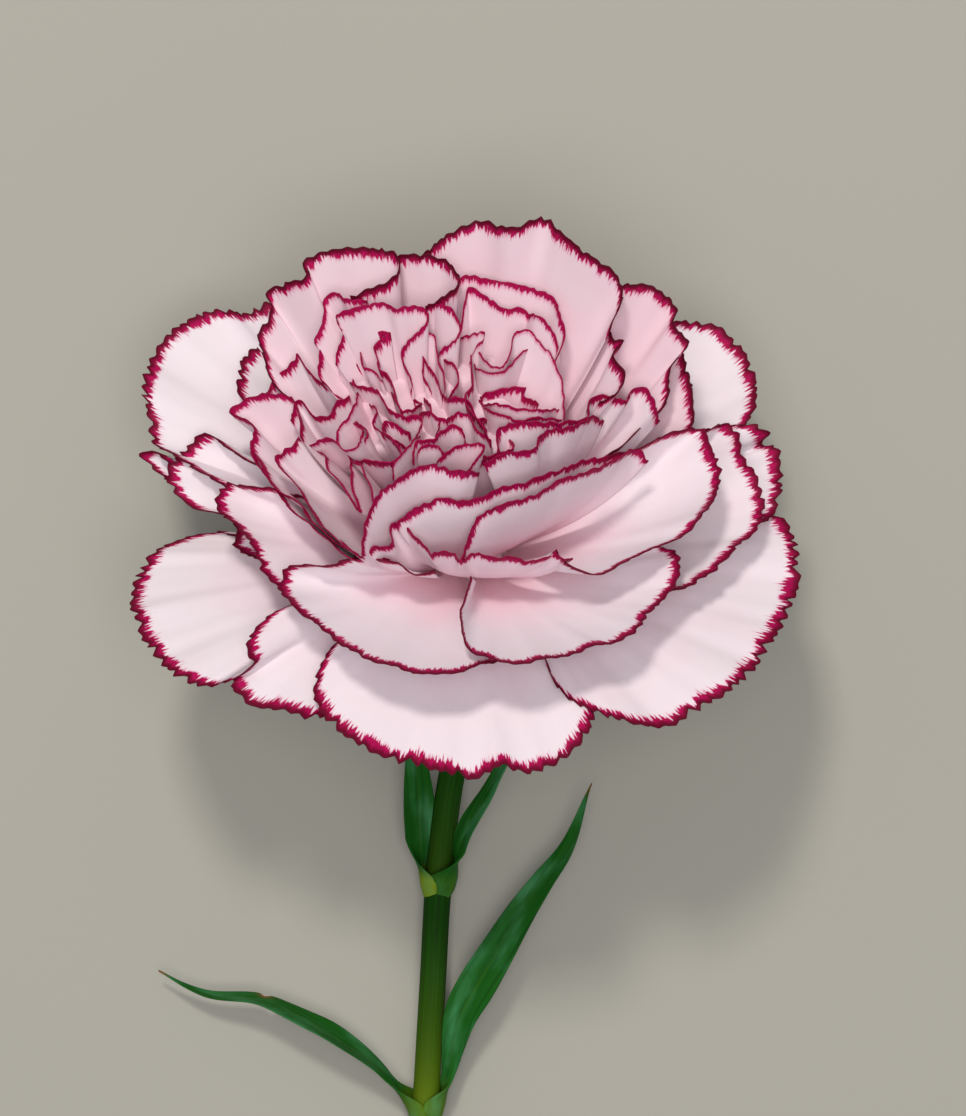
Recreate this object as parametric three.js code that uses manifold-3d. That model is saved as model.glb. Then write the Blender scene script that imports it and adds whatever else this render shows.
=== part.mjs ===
// A cut carnation that lies on a surface: bloom, calyx, jointed stem and four leaves.
// Millimetres, +Z up. The bloom's width lies along X, the stem runs towards -Y, and the bloom's face looks
// up and to +Y.
import * as THREE from 'three';
import { mergeVertices } from 'three/addons/utils/BufferGeometryUtils.js';
import Module from 'manifold-3d';

const wasm = await Module();
wasm.setup();

// ---------------------------------------------------------------- driving dimensions
const BLOOM_WIDTH = 85;
const PETAL_THICKNESS = 0.76;
const CALYX_LENGTH = 25;
const CALYX_MOUTH_RADIUS = 7;
const CALYX_WALL = 1.1;
const STEM_RADIUS = 1.75;
const LEAF_THICKNESS = 0.9;
const GAP = 0.3;
// Edges shorter than a sliver are closed, and points this near each other are welded.
const SLIVER = 0.05;
const WELD = 1e-5;

// How the flower lies: its axis rises this far above the surface, and the calyx's mouth stands here.
const AXIS_RISE = THREE.MathUtils.degToRad(43);
const BLOOM_CENTRE = new THREE.Vector3(-0.3, 33, 27.5);

// ---------------------------------------------------------------- the view in which the outlines were read
// The view looks straight down on the lying flower, so it looks AXIS_RISE below the plane of the face.
// Its points are [pixel column, pixel row, height in mm]. A petal's heights are above the calyx's mouth,
// along the flower's axis. Those of the stem and leaves are above the surface.
const VIEW_DISTANCE = 500;
const MOUTH_COLUMN = 464;
const MOUTH_ROW = 553;
const BLOOM_LEFT_COLUMN = 130;
const BLOOM_RIGHT_COLUMN = 803;
const MM_PER_PIXEL = BLOOM_WIDTH / (BLOOM_RIGHT_COLUMN - BLOOM_LEFT_COLUMN);

// Turns a petal's point into x (right), y (to the bloom's back) and z (along the flower's axis).
function onPetal([column, row, height]) {
  const across = (column - MOUTH_COLUMN) * MM_PER_PIXEL;
  const up = (MOUTH_ROW - row) * MM_PER_PIXEL;
  const sine = Math.sin(AXIS_RISE);
  const cosine = Math.cos(AXIS_RISE);
  const y = (up * (VIEW_DISTANCE - height * sine) - height * VIEW_DISTANCE * cosine)
    / (VIEW_DISTANCE * sine - up * cosine);
  const nearer = height * sine - y * cosine;
  return new THREE.Vector3(across * (1 - nearer / VIEW_DISTANCE), y, height);
}

// Turns a point of the stem or a leaf into the object's own frame.
function lying([column, row, height]) {
  const scale = MM_PER_PIXEL * (1 + (BLOOM_CENTRE.z - height) / VIEW_DISTANCE);
  return new THREE.Vector3(BLOOM_CENTRE.x + (column - MOUTH_COLUMN) * scale,
    BLOOM_CENTRE.y + (MOUTH_ROW - row) * scale, height);
}

// ---------------------------------------------------------------- petals
// Each layer's petals leave the core on a ring: its radius, its height and how far the petal bellies out.
const LAYERS = {
  guard: { ringRadius: 4.6, ringHeight: -0.5, belly: -1.5 },
  second: { ringRadius: 4.4, ringHeight: 0.5, belly: 0 },
  middle: { ringRadius: 4.2, ringHeight: 1, belly: 2 },
  cup: { ringRadius: 3.6, ringHeight: 2, belly: 4.5 },
  back: { ringRadius: 3.4, ringHeight: 2, belly: 3 },
  inner: { ringRadius: 2, ringHeight: 3, belly: 1.5 },
};

const RIMS = {
  guard: {
    left: [[285, 560, 2], [240, 536, 1], [212, 531, 0], [165, 545, 0], [136, 575, 0], [130, 605, 0],
      [145, 642, 0], [175, 678, 0], [203, 687, 0], [243, 664, 0], [300, 640, 1]],
    folded: [[300, 600, 4], [262, 622, 4], [246, 645, 4], [250, 667, 2], [231, 682, 0], [243, 700, -0.5],
      [285, 712, -1], [315, 720, -2.5], [345, 705, -3], [375, 665, -2]],
    front: [[400, 622, 2], [340, 641, 2.5], [313, 688, 0.5], [325, 718, -1], [372, 753, -2.5],
      [425, 768, -3.5], [475, 779, -4], [503, 766, -3], [525, 776, -4], [568, 757, -3], [595, 722, -1.5],
      [590, 680, -1.5], [560, 640, -1]],
    right: [[540, 630, 4], [547, 668, 1], [575, 702, -0.5], [620, 722, -1], [665, 726, -1.5],
      [703, 709, -1], [745, 682, 0], [765, 655, 0], [787, 620, 0], [801, 570, 1], [797, 540, 2],
      [775, 512, 3], [720, 520, 4]],
  },
  second: {
    upperLeft: [[330, 330, 16], [270, 302, 17], [240, 312, 16], [213, 308, 15], [180, 324, 14],
      [158, 345, 13], [141, 385, 12], [146, 415, 10], [150, 437, 9], [168, 453, 9], [215, 480, 9],
      [270, 500, 8]],
    left: [[275, 478, 12], [235, 452, 11], [203, 434, 11], [183, 449, 9], [168, 466, 8], [168, 485, 6],
      [186, 502, 5], [210, 513, 5], [236, 527, 5], [234, 545, 4], [257, 559, 4], [282, 588, 4],
      [330, 610, 4]],
    upperRight: [[640, 350, 17], [665, 325, 17], [690, 320, 16], [715, 325, 15], [735, 340, 14],
      [752, 365, 13], [757, 390, 12], [752, 418, 11], [720, 440, 10], [680, 460, 10]],
    right: [[700, 430, 11], [742, 424, 11], [760, 424, 11], [770, 432, 10], [763, 443, 8], [778, 446, 8],
      [781, 465, 6], [783, 490, 5], [777, 508, 4], [765, 520, 4], [710, 540, 4]],
  },
  middle: {
    outerRight: [[672, 470, 10], [700, 432, 13], [735, 426, 12], [744, 455, 11], [760, 480, 10],
      [763, 520, 8], [740, 547, 7], [712, 572, 7], [678, 592, 7], [630, 600, 7]],
    frontLeft: [[436, 573, 9.3], [374, 559, 11], [330, 564, 10.5], [287, 566, 10], [280, 580, 9],
      [290, 603, 9], [320, 629, 8], [342, 643, 8], [370, 661, 8], [400, 670, 8], [450, 673, 7.5],
      [495, 664, 6.5], [520, 650, 4], [530, 625, 2]],
    frontRight: [[474, 577, 10], [466, 598, 10], [459, 620, 10], [468, 646, 9], [495, 659, 9],
      [520, 665, 9], [545, 662, 9], [570, 655, 9], [595, 645, 9], [614, 643, 9], [640, 633, 9],
      [650, 612, 9], [668, 595, 9], [681, 575, 10], [678, 552, 10], [640, 545, 9]],
    right: [[556, 550, 13.5], [566, 563, 13], [590, 572, 13], [620, 567, 13], [645, 554, 14],
      [680, 536, 14], [702, 520, 15], [717, 495, 15], [722, 474, 16], [712, 445, 17], [703, 427, 18],
      [680, 431, 18], [650, 443, 18], [610, 455, 17]],
    left: [[310, 500, 11], [272, 489, 12.5], [250, 486, 13], [228, 481, 13], [217, 492, 12.5],
      [218, 508, 12], [236, 525, 11], [252, 550, 10], [268, 577, 9], [284, 592, 8], [310, 604, 6]],
  },
  cup: {
    bowlLeft: [[250, 447, 16], [258, 462, 15], [273, 486, 14], [300, 518, 13], [325, 538, 12.5],
      [352, 556, 12], [390, 560, 10.5]],
    bowl: [[262, 465, 15], [278, 492, 13], [325, 535, 13], [361, 558, 12], [372, 545, 13], [400, 521, 15],
      [413, 538, 14], [430, 556, 13], [455, 552, 13], [500, 557, 13], [530, 560, 13], [563, 560, 14],
      [575, 560, 12.5]],
    frontRight: [[461, 560, 13], [466, 542, 14], [480, 518, 17], [500, 505, 19], [530, 495, 20],
      [570, 478, 21], [600, 465, 21], [640, 450, 20], [650, 460, 18]],
    front: [[395, 525, 15], [410, 513, 17], [438, 497, 19], [470, 500, 19], [500, 490, 20],
      [560, 468, 21], [610, 455, 20]],
    frontLeft: [[362, 555, 14], [368, 520, 17], [380, 492, 20], [400, 476, 22], [430, 466, 23],
      [466, 470, 23], [480, 470, 22]],
    innerRight: [[484, 464, 21], [505, 452, 22], [538, 448, 22.5], [550, 428, 23], [588, 416, 23],
      [612, 395, 23], [646, 388, 23], [660, 420, 19]],
    outerLeft: [[300, 520, 12], [275, 490, 14], [262, 468, 15], [250, 447, 16], [252, 425, 17],
      [229, 411, 17], [262, 393, 19], [290, 395, 19], [297, 402, 19], [299, 437, 17]],
    left: [[299, 437, 19], [283, 452, 18], [275, 457, 17], [293, 480, 17], [303, 500, 16],
      [318, 518, 15], [340, 540, 14], [361, 557, 13]],
    upperLeft: [[255, 410, 16], [272, 382, 18], [288, 366, 20], [299, 352, 22], [305, 368, 21],
      [325, 385, 20], [348, 391, 19]],
  },
  back: {
    tall: [[415, 266, 29], [427, 250, 33], [455, 230, 36], [480, 220, 37], [515, 226, 38],
      [543, 217, 39], [565, 235, 38], [597, 258, 37], [612, 268, 36], [622, 288, 34], [612, 330, 30]],
    rolled: [[578, 303, 28], [586, 290, 31.5], [603, 284, 32], [618, 307, 30.5], [607, 324, 29],
      [626, 341, 28], [624, 374, 26], [600, 402, 22.5]],
    left: [[288, 397, 17], [272, 378, 19], [262, 358, 21], [257, 338, 22], [272, 305, 26], [266, 292, 27],
      [308, 272, 31], [303, 262, 32], [346, 247, 34], [395, 252, 34], [397, 268, 33.5],
      [385, 283, 32.5], [350, 295, 31]],
    middle: [[388, 275, 29], [397, 256, 32.5], [440, 256, 34], [462, 277, 33], [459, 287, 32.5],
      [426, 305, 31]],
    right: [[612, 316, 27], [622, 287, 32], [648, 283, 32], [676, 305, 30], [673, 322, 29],
      [690, 342, 27], [672, 368, 24], [667, 398, 21], [640, 432, 18], [605, 455, 16]],
    lowRight: [[650, 320, 26], [683, 352, 23], [690, 375, 21], [694, 400, 19], [690, 428, 17],
      [650, 445, 15]],
  },
  inner: {
    rightHood: [[440, 310, 28], [462, 276, 31.5], [500, 281, 31.5], [540, 290, 31.5], [562, 312, 30.5],
      [563, 345, 28], [548, 390, 22]],
    rightEye: [[566, 418, 20], [564, 380, 22], [538, 341, 25], [525, 350, 25], [505, 371, 24],
      [485, 372, 23], [472, 345, 24], [475, 340, 24]],
    leftHood: [[345, 400, 19], [318, 374, 22.5], [319, 348, 24.5], [325, 308, 29], [337, 292, 31],
      [366, 305, 29]],
    leftEye: [[362, 400, 19], [350, 366, 23], [336, 363, 23.5], [343, 334, 27.5], [336, 315, 30],
      [352, 309, 31], [386, 302, 32], [427, 314, 31], [408, 342, 28], [411, 392, 22]],
  },
};

// Petals that no view of the face shows: [azimuth in degrees, half width in degrees, radius, height] of a
// round rim. Azimuth 0 points right and 90 points to the back of the bloom.
const HIDDEN_RIMS = {
  guard: [[56, 34, 42, 1.5], [124, 34, 42, 1.5]],
  second: [[50, 26, 37, 12], [90, 28, 36, 14], [130, 26, 37, 13]],
};

// The frilled heart: small petals that spiral out of the middle by the golden angle.
const HEART_PETALS = 7;
const HEART_HEIGHT = 20;
const GOLDEN_ANGLE = THREE.MathUtils.degToRad(137.5);
const HEART_STEPS = [-1, -0.5, 0, 0.5, 1];
const HEART_RADIUS = 3.5;
const HEART_HALF_TURN = 0.9;
const HEART_CENTRE = [-2, 1];
const HEART_WAVE = 1.2;
const HEART_DIP = 1.5;

// A petal's grid: rows from root to rim, and columns across it, one for every few millimetres of rim.
const PETAL_ROWS = 3;
const COLUMN_WIDTH = 8.5;
const FEWEST_COLUMNS = 4;
const MOST_COLUMNS = 8;

// A petal's root takes up this share of the turn that its rim takes up, and no more than the widest turn.
const ROOT_SHARE = 0.35;
const WIDEST_TURN = 2.4;
// How far each column's belly leans from its own way out towards the middle of the petal.
const BELLY_LEAN = 0.4;

// A round rim draws in by this share of its radius at both ends, and dips there by this many mm.
const ROUND_STEPS = [-1, -0.75, -0.4, 0, 0.4, 0.75, 1];
const ROUND_DRAW_IN = 0.3;
const ROUND_DIP = 2;

function roundRim([azimuth, halfWidth, radius, height]) {
  return ROUND_STEPS.map((across) => {
    const angle = THREE.MathUtils.degToRad(azimuth + halfWidth * across);
    const reach = radius * (1 - ROUND_DRAW_IN * across ** 4);
    return new THREE.Vector3(reach * Math.cos(angle), reach * Math.sin(angle),
      height - ROUND_DIP * across ** 4);
  });
}

function heartRim(index) {
  return HEART_STEPS.map((across) => {
    const turn = index * GOLDEN_ANGLE + HEART_HALF_TURN * across;
    const reach = HEART_RADIUS + index + HEART_WAVE * Math.cos(2 * Math.PI * across);
    return new THREE.Vector3(HEART_CENTRE[0] + reach * Math.cos(turn),
      HEART_CENTRE[1] + reach * Math.sin(turn), HEART_HEIGHT + HEART_DIP * Math.cos(Math.PI * across));
  });
}

// A grid of points from a petal's root on the core to its rim. Each column is a quadratic curve whose
// middle point bellies away from the flower's axis.
function petalGrid(rimPoints, layer) {
  const curve = new THREE.CatmullRomCurve3(rimPoints, false, 'centripetal');
  const columns = THREE.MathUtils.clamp(Math.round(curve.getLength() / COLUMN_WIDTH), FEWEST_COLUMNS,
    MOST_COLUMNS);
  const rim = curve.getSpacedPoints(columns);
  const middle = rim.reduce((sum, point) => sum.add(point), new THREE.Vector3()).divideScalar(rim.length);
  const azimuth = Math.atan2(middle.y, middle.x);
  const outward = new THREE.Vector3(Math.cos(azimuth), Math.sin(azimuth), 0);
  const turns = rim.map((point) => Math.atan2(
    outward.x * point.y - outward.y * point.x, outward.x * point.x + outward.y * point.y));
  const ends = THREE.MathUtils.clamp(turns[columns] - turns[0], -WIDEST_TURN, WIDEST_TURN);
  const grid = [];
  for (let row = 0; row <= PETAL_ROWS; row += 1) {
    const along = row / PETAL_ROWS;
    for (let column = 0; column <= columns; column += 1) {
      const angle = azimuth + ROOT_SHARE * ends * (column / columns - 0.5);
      const root = new THREE.Vector3(layer.ringRadius * Math.cos(angle),
        layer.ringRadius * Math.sin(angle), layer.ringHeight);
      const tip = rim[column];
      const radial = new THREE.Vector3(tip.x, tip.y, 0).normalize().lerp(outward, BELLY_LEAN)
          .normalize();
      const lean = Math.atan2(tip.clone().sub(root).dot(radial), tip.z - root.z);
      const control = root.clone().lerp(tip, 0.5)
        .addScaledVector(radial, layer.belly * Math.cos(lean));
      control.z -= layer.belly * Math.sin(lean);
      const point = root.multiplyScalar((1 - along) ** 2)
        .addScaledVector(control, 2 * along * (1 - along))
        .addScaledVector(tip, along ** 2);
      grid.push(point);
    }
  }
  return { grid, columns };
}

// ---------------------------------------------------------------- solids
// Gives a grid of points (rows of columns) a thickness and closes it round its edge.
function thickSheet(grid, rows, columns, thickness) {
  const stride = columns + 1;
  const normals = grid.map(() => new THREE.Vector3());
  const triangles = [];
  for (let row = 0; row < rows; row += 1) {
    for (let column = 0; column < columns; column += 1) {
      const corner = row * stride + column;
      const opposite = corner + stride + 1;
      triangles.push([corner, corner + 1, opposite], [corner, opposite, corner + stride]);
    }
  }
  for (const [a, b, c] of triangles) {
    const normal = grid[b].clone().sub(grid[a]).cross(grid[c].clone().sub(grid[a]));
    for (const corner of [a, b, c]) {
      normals[corner].add(normal);
    }
  }
  const positions = [];
  for (const side of [0.5, -0.5]) {
    grid.forEach((point, index) => {
      const moved = point.clone().addScaledVector(normals[index].clone().normalize(), side * thickness);
      positions.push(moved.x, moved.y, moved.z);
    });
  }
  const under = grid.length;
  const faces = [];
  for (const [a, b, c] of triangles) {
    faces.push(a, b, c, under + a, under + c, under + b);
  }
  const edge = [];
  for (let column = 0; column < columns; column += 1) edge.push(column);
  for (let row = 0; row < rows; row += 1) edge.push(row * stride + columns);
  for (let column = columns; column > 0; column -= 1) edge.push(rows * stride + column);
  for (let row = rows; row > 0; row -= 1) edge.push(row * stride);
  edge.forEach((a, index) => {
    const b = edge[(index + 1) % edge.length];
    faces.push(a, under + a, under + b, a, under + b, b);
  });
  const geometry = new THREE.BufferGeometry();
  geometry.setAttribute('position', new THREE.Float32BufferAttribute(positions, 3));
  geometry.setIndex(faces);
  return geometry;
}

function toSolid(geometry) {
  const bare = geometry.clone();
  bare.deleteAttribute('normal');
  bare.deleteAttribute('uv');
  const merged = mergeVertices(bare, WELD);
  return new wasm.Manifold(new wasm.Mesh({
    numProp: 3,
    vertProperties: new Float32Array(merged.attributes.position.array),
    triVerts: new Uint32Array(merged.index.array),
  }));
}

function toGeometry(solid) {
  const mesh = solid.getMesh();
  const geometry = new THREE.BufferGeometry();
  geometry.setAttribute('position', new THREE.BufferAttribute(mesh.vertProperties, 3));
  geometry.setIndex(new THREE.BufferAttribute(mesh.triVerts, 1));
  return geometry;
}

// Keeps the outermost skin, so that no sealed pocket and no crumb is left, and closes edges shorter than a
// sliver.
function outerSkin(solid) {
  return solid.decompose()
    .reduce((largest, skin) => (skin.volume() > largest.volume() ? skin : largest))
    .simplify(SLIVER);
}

function joined(geometries) {
  return outerSkin(geometries.map(toSolid).reduce((sum, solid) => sum.add(solid)));
}

// Lays a piece that is drawn along the flower's own axis down in its place.
function laid(geometry) {
  return geometry.rotateX(AXIS_RISE - Math.PI / 2).translate(...BLOOM_CENTRE.toArray());
}

function lathe(profile, sides) {
  const outline = profile.map(([radius, height]) => new THREE.Vector2(radius, height));
  return new THREE.LatheGeometry(outline, sides).rotateX(Math.PI / 2);
}

// A closed skin over rings of equal count: each ring joins the next, and the first and last are capped
// with a fan round their own middle.
function ringSolid(rings) {
  const sides = rings[0].length;
  const positions = [];
  const faces = [];
  rings.flat().forEach((point) => positions.push(point.x, point.y, point.z));
  for (let ring = 0; ring < rings.length - 1; ring += 1) {
    for (let side = 0; side < sides; side += 1) {
      const a = ring * sides + side;
      const b = ring * sides + ((side + 1) % sides);
      faces.push(a, b, b + sides, a, b + sides, a + sides);
    }
  }
  const last = rings.length - 1;
  [[rings[0], 0, -1], [rings[last], last * sides, 1]].forEach(([ring, first, way]) => {
    const middle = ring.reduce((sum, point) => sum.add(point), new THREE.Vector3()).divideScalar(sides);
    const hub = positions.length / 3;
    positions.push(middle.x, middle.y, middle.z);
    for (let side = 0; side < sides; side += 1) {
      const next = (side + 1) % sides;
      faces.push(hub, ...(way > 0 ? [first + side, first + next] : [first + next, first + side]));
    }
  });
  const geometry = new THREE.BufferGeometry();
  geometry.setAttribute('position', new THREE.Float32BufferAttribute(positions, 3));
  geometry.setIndex(faces);
  return geometry;
}

// ---------------------------------------------------------------- bloom
// The bundle of claws that the petals grow from: [radius, height], from the calyx's floor to the heart.
const CORE_SIDES = 16;
const CORE_PROFILE = [[0, -23.7], [3.4, -23.7], [4.2, -17], [5.3, -4], [5.8, 0], [5.4, 4], [3.6, 8],
  [0, 9.5]];

// The block below the surface, which presses the lowest rims flat.
const BLOCK_WIDTH = 200;
const BLOCK_DEPTH = 20;

function bloomGeometry() {
  const petals = [];
  const addPetal = (rim, layer) => {
    const { grid, columns } = petalGrid(rim, LAYERS[layer]);
    petals.push(thickSheet(grid, PETAL_ROWS, columns, PETAL_THICKNESS));
  };
  for (const [layer, rims] of Object.entries(RIMS)) {
    Object.values(rims).forEach((rim) => addPetal(rim.map(onPetal), layer));
  }
  for (const [layer, rims] of Object.entries(HIDDEN_RIMS)) {
    rims.forEach((rim) => addPetal(roundRim(rim), layer));
  }
  for (let index = 0; index < HEART_PETALS; index += 1) {
    addPetal(heartRim(index), 'inner');
  }
  const core = lathe(CORE_PROFILE, CORE_SIDES);
  const whole = laid(toGeometry(joined([core, ...petals])));
  const underSurface = new THREE.BoxGeometry(BLOCK_WIDTH, BLOCK_WIDTH, BLOCK_DEPTH)
      .translate(0, 0, -BLOCK_DEPTH / 2);
  return toGeometry(outerSkin(toSolid(whole).subtract(toSolid(underSurface))));
}

// ---------------------------------------------------------------- calyx
const CALYX_SIDES = 40;
const CALYX_TEETH = 5;
const CALYX_FOOT = -CALYX_LENGTH - 2;
const CALYX_FLOOR = CALYX_FOOT + 3;
const CALYX_FOOT_RADIUS = 4.4;
const TOOTH_ROOT = -7.5;
const TOOTH_LENGTH = 5;
// The tube's foot is rounded: [radius, height above the foot]. Its wall has rings at these heights.
const FOOT_PROFILE = [[2.6, 0], [4.1, 0.4]];
const FOOT_ROUNDING = 1.6;
const WALL_HEIGHTS = [-20, -14, -9];

// The tube's outer radius: slim at its foot, widest at its mouth.
function calyxRadius(height) {
  const rise = THREE.MathUtils.clamp((height - CALYX_FOOT) / -CALYX_FOOT, 0, 1);
  return THREE.MathUtils.lerp(CALYX_FOOT_RADIUS, CALYX_MOUTH_RADIUS, Math.sin(rise * Math.PI / 2));
}

function calyxGeometry() {
  const toothTop = (angle) => {
    const across = Math.abs(((angle * CALYX_TEETH / (2 * Math.PI)) % 1) - 0.5) * 2;
    return TOOTH_ROOT + TOOTH_LENGTH * (1 - across);
  };
  const ring = (radiusAt, heightAt) => {
    const points = [];
    for (let side = 0; side < CALYX_SIDES; side += 1) {
      const angle = 2 * Math.PI * side / CALYX_SIDES;
      const height = heightAt(angle);
      const radius = radiusAt(height);
      points.push(new THREE.Vector3(radius * Math.cos(angle), radius * Math.sin(angle), height));
    }
    return points;
  };
  const inner = (height) => calyxRadius(height) - CALYX_WALL;
  const level = (height) => () => height;
  return ringSolid([
    ...FOOT_PROFILE.map(([radius, rise]) => ring(() => radius, level(CALYX_FOOT + rise))),
    ...[CALYX_FOOT + FOOT_ROUNDING, ...WALL_HEIGHTS].map((height) => ring(calyxRadius, level(height))),
    ring(calyxRadius, toothTop),
    ring(inner, toothTop),
    ...WALL_HEIGHTS.slice(1).reverse().map((height) => ring(inner, level(height))),
    ring(inner, level(CALYX_FLOOR)),
  ]);
}

// The pointed scales that hug the calyx's foot, in two crossed pairs.
const BRACTS = 4;
const BRACT_LENGTHS = [8, 10];
const BRACT_HALF_ANGLE = THREE.MathUtils.degToRad(44);
const BRACT_THICKNESS = 0.7;
const BRACT_ROWS = 4;
const BRACT_COLUMNS = 4;
const BRACT_START = 1.4;
const BRACT_FLARE = 0.9;
const BRACT_SINK = 0.1;
const BRACT_TAPER = 0.93;

function bractGeometry(index) {
  const azimuth = 2 * Math.PI * (index + 0.5) / BRACTS;
  const length = BRACT_LENGTHS[index % BRACT_LENGTHS.length];
  const grid = [];
  for (let row = 0; row <= BRACT_ROWS; row += 1) {
    const along = row / BRACT_ROWS;
    const height = CALYX_FOOT + BRACT_START + length * along;
    const radius = calyxRadius(height) + BRACT_FLARE * along - BRACT_SINK;
    for (let column = 0; column <= BRACT_COLUMNS; column += 1) {
      const across = 2 * column / BRACT_COLUMNS - 1;
      const angle = azimuth + BRACT_HALF_ANGLE * across * (1 - BRACT_TAPER * along ** 2);
      grid.push(new THREE.Vector3(radius * Math.cos(angle), radius * Math.sin(angle), height));
    }
  }
  return thickSheet(grid, BRACT_ROWS, BRACT_COLUMNS, BRACT_THICKNESS);
}

function calyxWithBracts() {
  const bracts = Array.from({ length: BRACTS }, (_, index) => bractGeometry(index));
  return laid(toGeometry(joined([calyxGeometry(), ...bracts])));
}

// ---------------------------------------------------------------- stem and leaves
const STEM_SIDES = 14;
const STEM_STEPS = 32;
const JOINT_SWELL = 0.65;
const JOINT_REACH = 2.2;
const UPPER_JOINT = [438, 879, 4];
const LOWER_JOINT = [425, 1105, 3.3];
const CUT_END = [418, 1355, 1.71];
const STEM_ROUTE = [[450, 780, 5.4], UPPER_JOINT, [432, 980, 3.6], LOWER_JOINT, [421, 1220, 2.6], CUT_END];

// The stem leaves the middle of the calyx's foot along the flower's axis, one gap below it.
function stemCurve() {
  const backAlongAxis = new THREE.Vector3(0, -Math.cos(AXIS_RISE), -Math.sin(AXIS_RISE));
  const foot = BLOOM_CENTRE.clone().addScaledVector(backAlongAxis, GAP - CALYX_FOOT);
  const straight = foot.clone().addScaledVector(backAlongAxis, 2 * STEM_RADIUS);
  return new THREE.CatmullRomCurve3([foot, straight, ...STEM_ROUTE.map(lying)], false, 'centripetal');
}

function stemGeometry() {
  const curve = stemCurve();
  const up = new THREE.Vector3(0, 0, 1);
  const rings = [];
  for (let step = 0; step <= STEM_STEPS; step += 1) {
    const along = step / STEM_STEPS;
    const centre = curve.getPointAt(along);
    const forward = curve.getTangentAt(along);
    const side = forward.clone().cross(up).normalize();
    const top = side.clone().cross(forward);
    const swell = [UPPER_JOINT, LOWER_JOINT]
      .reduce((sum, joint) => sum + Math.exp(-((centre.distanceTo(lying(joint)) / JOINT_REACH) ** 2)), 0);
    const radius = STEM_RADIUS + JOINT_SWELL * swell;
    const ring = [];
    for (let corner = 0; corner < STEM_SIDES; corner += 1) {
      const angle = 2 * Math.PI * corner / STEM_SIDES;
      ring.push(centre.clone().addScaledVector(side, radius * Math.cos(angle))
        .addScaledVector(top, -radius * Math.sin(angle)));
    }
    rings.push(ring);
  }
  return ringSolid(rings);
}

// A leaf is a channel that clasps the stem's joint at its root and opens towards its tip. The clasp and the
// blade are arcs of these half angles, and the leaf has opened at this share of its length. The blade grows
// from a narrow foot until it is broadest, and narrows to its tip by a power of the way gone. Its facings
// are the ways that the channel opens at both ends, and its width is half of the blade's, in mm.
const LEAF_ROWS = 12;
const LEAF_COLUMNS = 4;
const CLASP_RADIUS = STEM_RADIUS + JOINT_SWELL + 1.5 * GAP + LEAF_THICKNESS / 2;
const CLASP_ANGLE = 1;
const BLADE_ANGLE = 0.35;
const OPENED_AT = 0.35;
const TIP_POWER = 1.8;
const FOOT_WIDTH = 0.45;
const BROAD_AT = 0.4;
const LEAST_HALF_WIDTH = 0.3;
const LEAVES = {
  leaf_upper_left: {
    joint: UPPER_JOINT,
    route: [[413, 856, 4.4], [414, 825, 5], [415, 790, 5.8], [410, 745, 8.4], [398, 700, 13]],
    rootFacing: [1, 0, 0.1],
    tipFacing: [0.35, -0.2, 0.9],
    width: 2.7,
  },
  leaf_upper_right: {
    joint: UPPER_JOINT,
    route: [[461, 850, 8.2], [478, 812, 10.6], [494, 783, 12], [506, 761, 13.4], [525, 722, 16]],
    rootFacing: [-0.8, 0, -0.6],
    tipFacing: [-0.85, 0.1, 0.5],
    width: 2.2,
  },
  leaf_lower_left: {
    joint: LOWER_JOINT,
    route: [[382, 1074, 4.6], [340, 1042, 5.8], [309, 1023, 6], [262, 1001, 5.4], [206, 995, 3.9],
      [158, 970, 3.4]],
    rootFacing: [1, 0.3, 0],
    tipFacing: [0.3, 0.85, 0.4],
    width: 2.9,
  },
  leaf_lower_right: {
    joint: LOWER_JOINT,
    route: [[455, 1050, 5], [466, 1010, 6], [489, 966, 6.8], [517, 919, 7], [543, 880, 7], [566, 847, 6.7],
      [591, 783, 5.8]],
    rootFacing: [-1, 0, -0.2],
    tipFacing: [-0.35, 0.1, 0.95],
    width: 3.3,
  },
};

const direction = (components) => new THREE.Vector3(...components).normalize();

function leafGeometry({ joint, route, rootFacing, tipFacing, width }) {
  const root = lying(joint).addScaledVector(direction(rootFacing), -CLASP_RADIUS);
  const curve = new THREE.CatmullRomCurve3([root, ...route.map(lying)], false, 'centripetal');
  const grid = [];
  for (let row = 0; row <= LEAF_ROWS; row += 1) {
    const along = row / LEAF_ROWS;
    const centre = curve.getPointAt(along);
    const forward = curve.getTangentAt(along);
    const opened = THREE.MathUtils.smoothstep(along, 0, OPENED_AT);
    const facing = direction(rootFacing).lerp(direction(tipFacing), opened);
    const side = forward.clone().cross(facing).normalize();
    const inward = side.clone().cross(forward);
    const bend = THREE.MathUtils.lerp(CLASP_ANGLE, BLADE_ANGLE, opened);
    const grown = THREE.MathUtils.lerp(FOOT_WIDTH, 1, THREE.MathUtils.smoothstep(along, 0, BROAD_AT));
    const blade = Math.max(width * grown * (1 - along ** TIP_POWER), LEAST_HALF_WIDTH);
    const half = THREE.MathUtils.lerp(CLASP_RADIUS * bend, blade, opened);
    for (let column = 0; column <= LEAF_COLUMNS; column += 1) {
      const turn = bend * (2 * column / LEAF_COLUMNS - 1);
      grid.push(centre.clone().addScaledVector(side, half / bend * Math.sin(turn))
        .addScaledVector(inward, half / bend * (1 - Math.cos(turn))));
    }
  }
  return thickSheet(grid, LEAF_ROWS, LEAF_COLUMNS, LEAF_THICKNESS);
}

// ---------------------------------------------------------------- the whole flower
const PETAL_PINK = new THREE.MeshStandardMaterial({ color: '#f0dfe6', roughness: 0.6, metalness: 0 });
const STEM_GREEN = new THREE.MeshStandardMaterial({ color: '#3d6a26', roughness: 0.5, metalness: 0 });
const LEAF_GREEN = new THREE.MeshStandardMaterial({ color: '#1f5a2c', roughness: 0.45, metalness: 0 });

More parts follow.
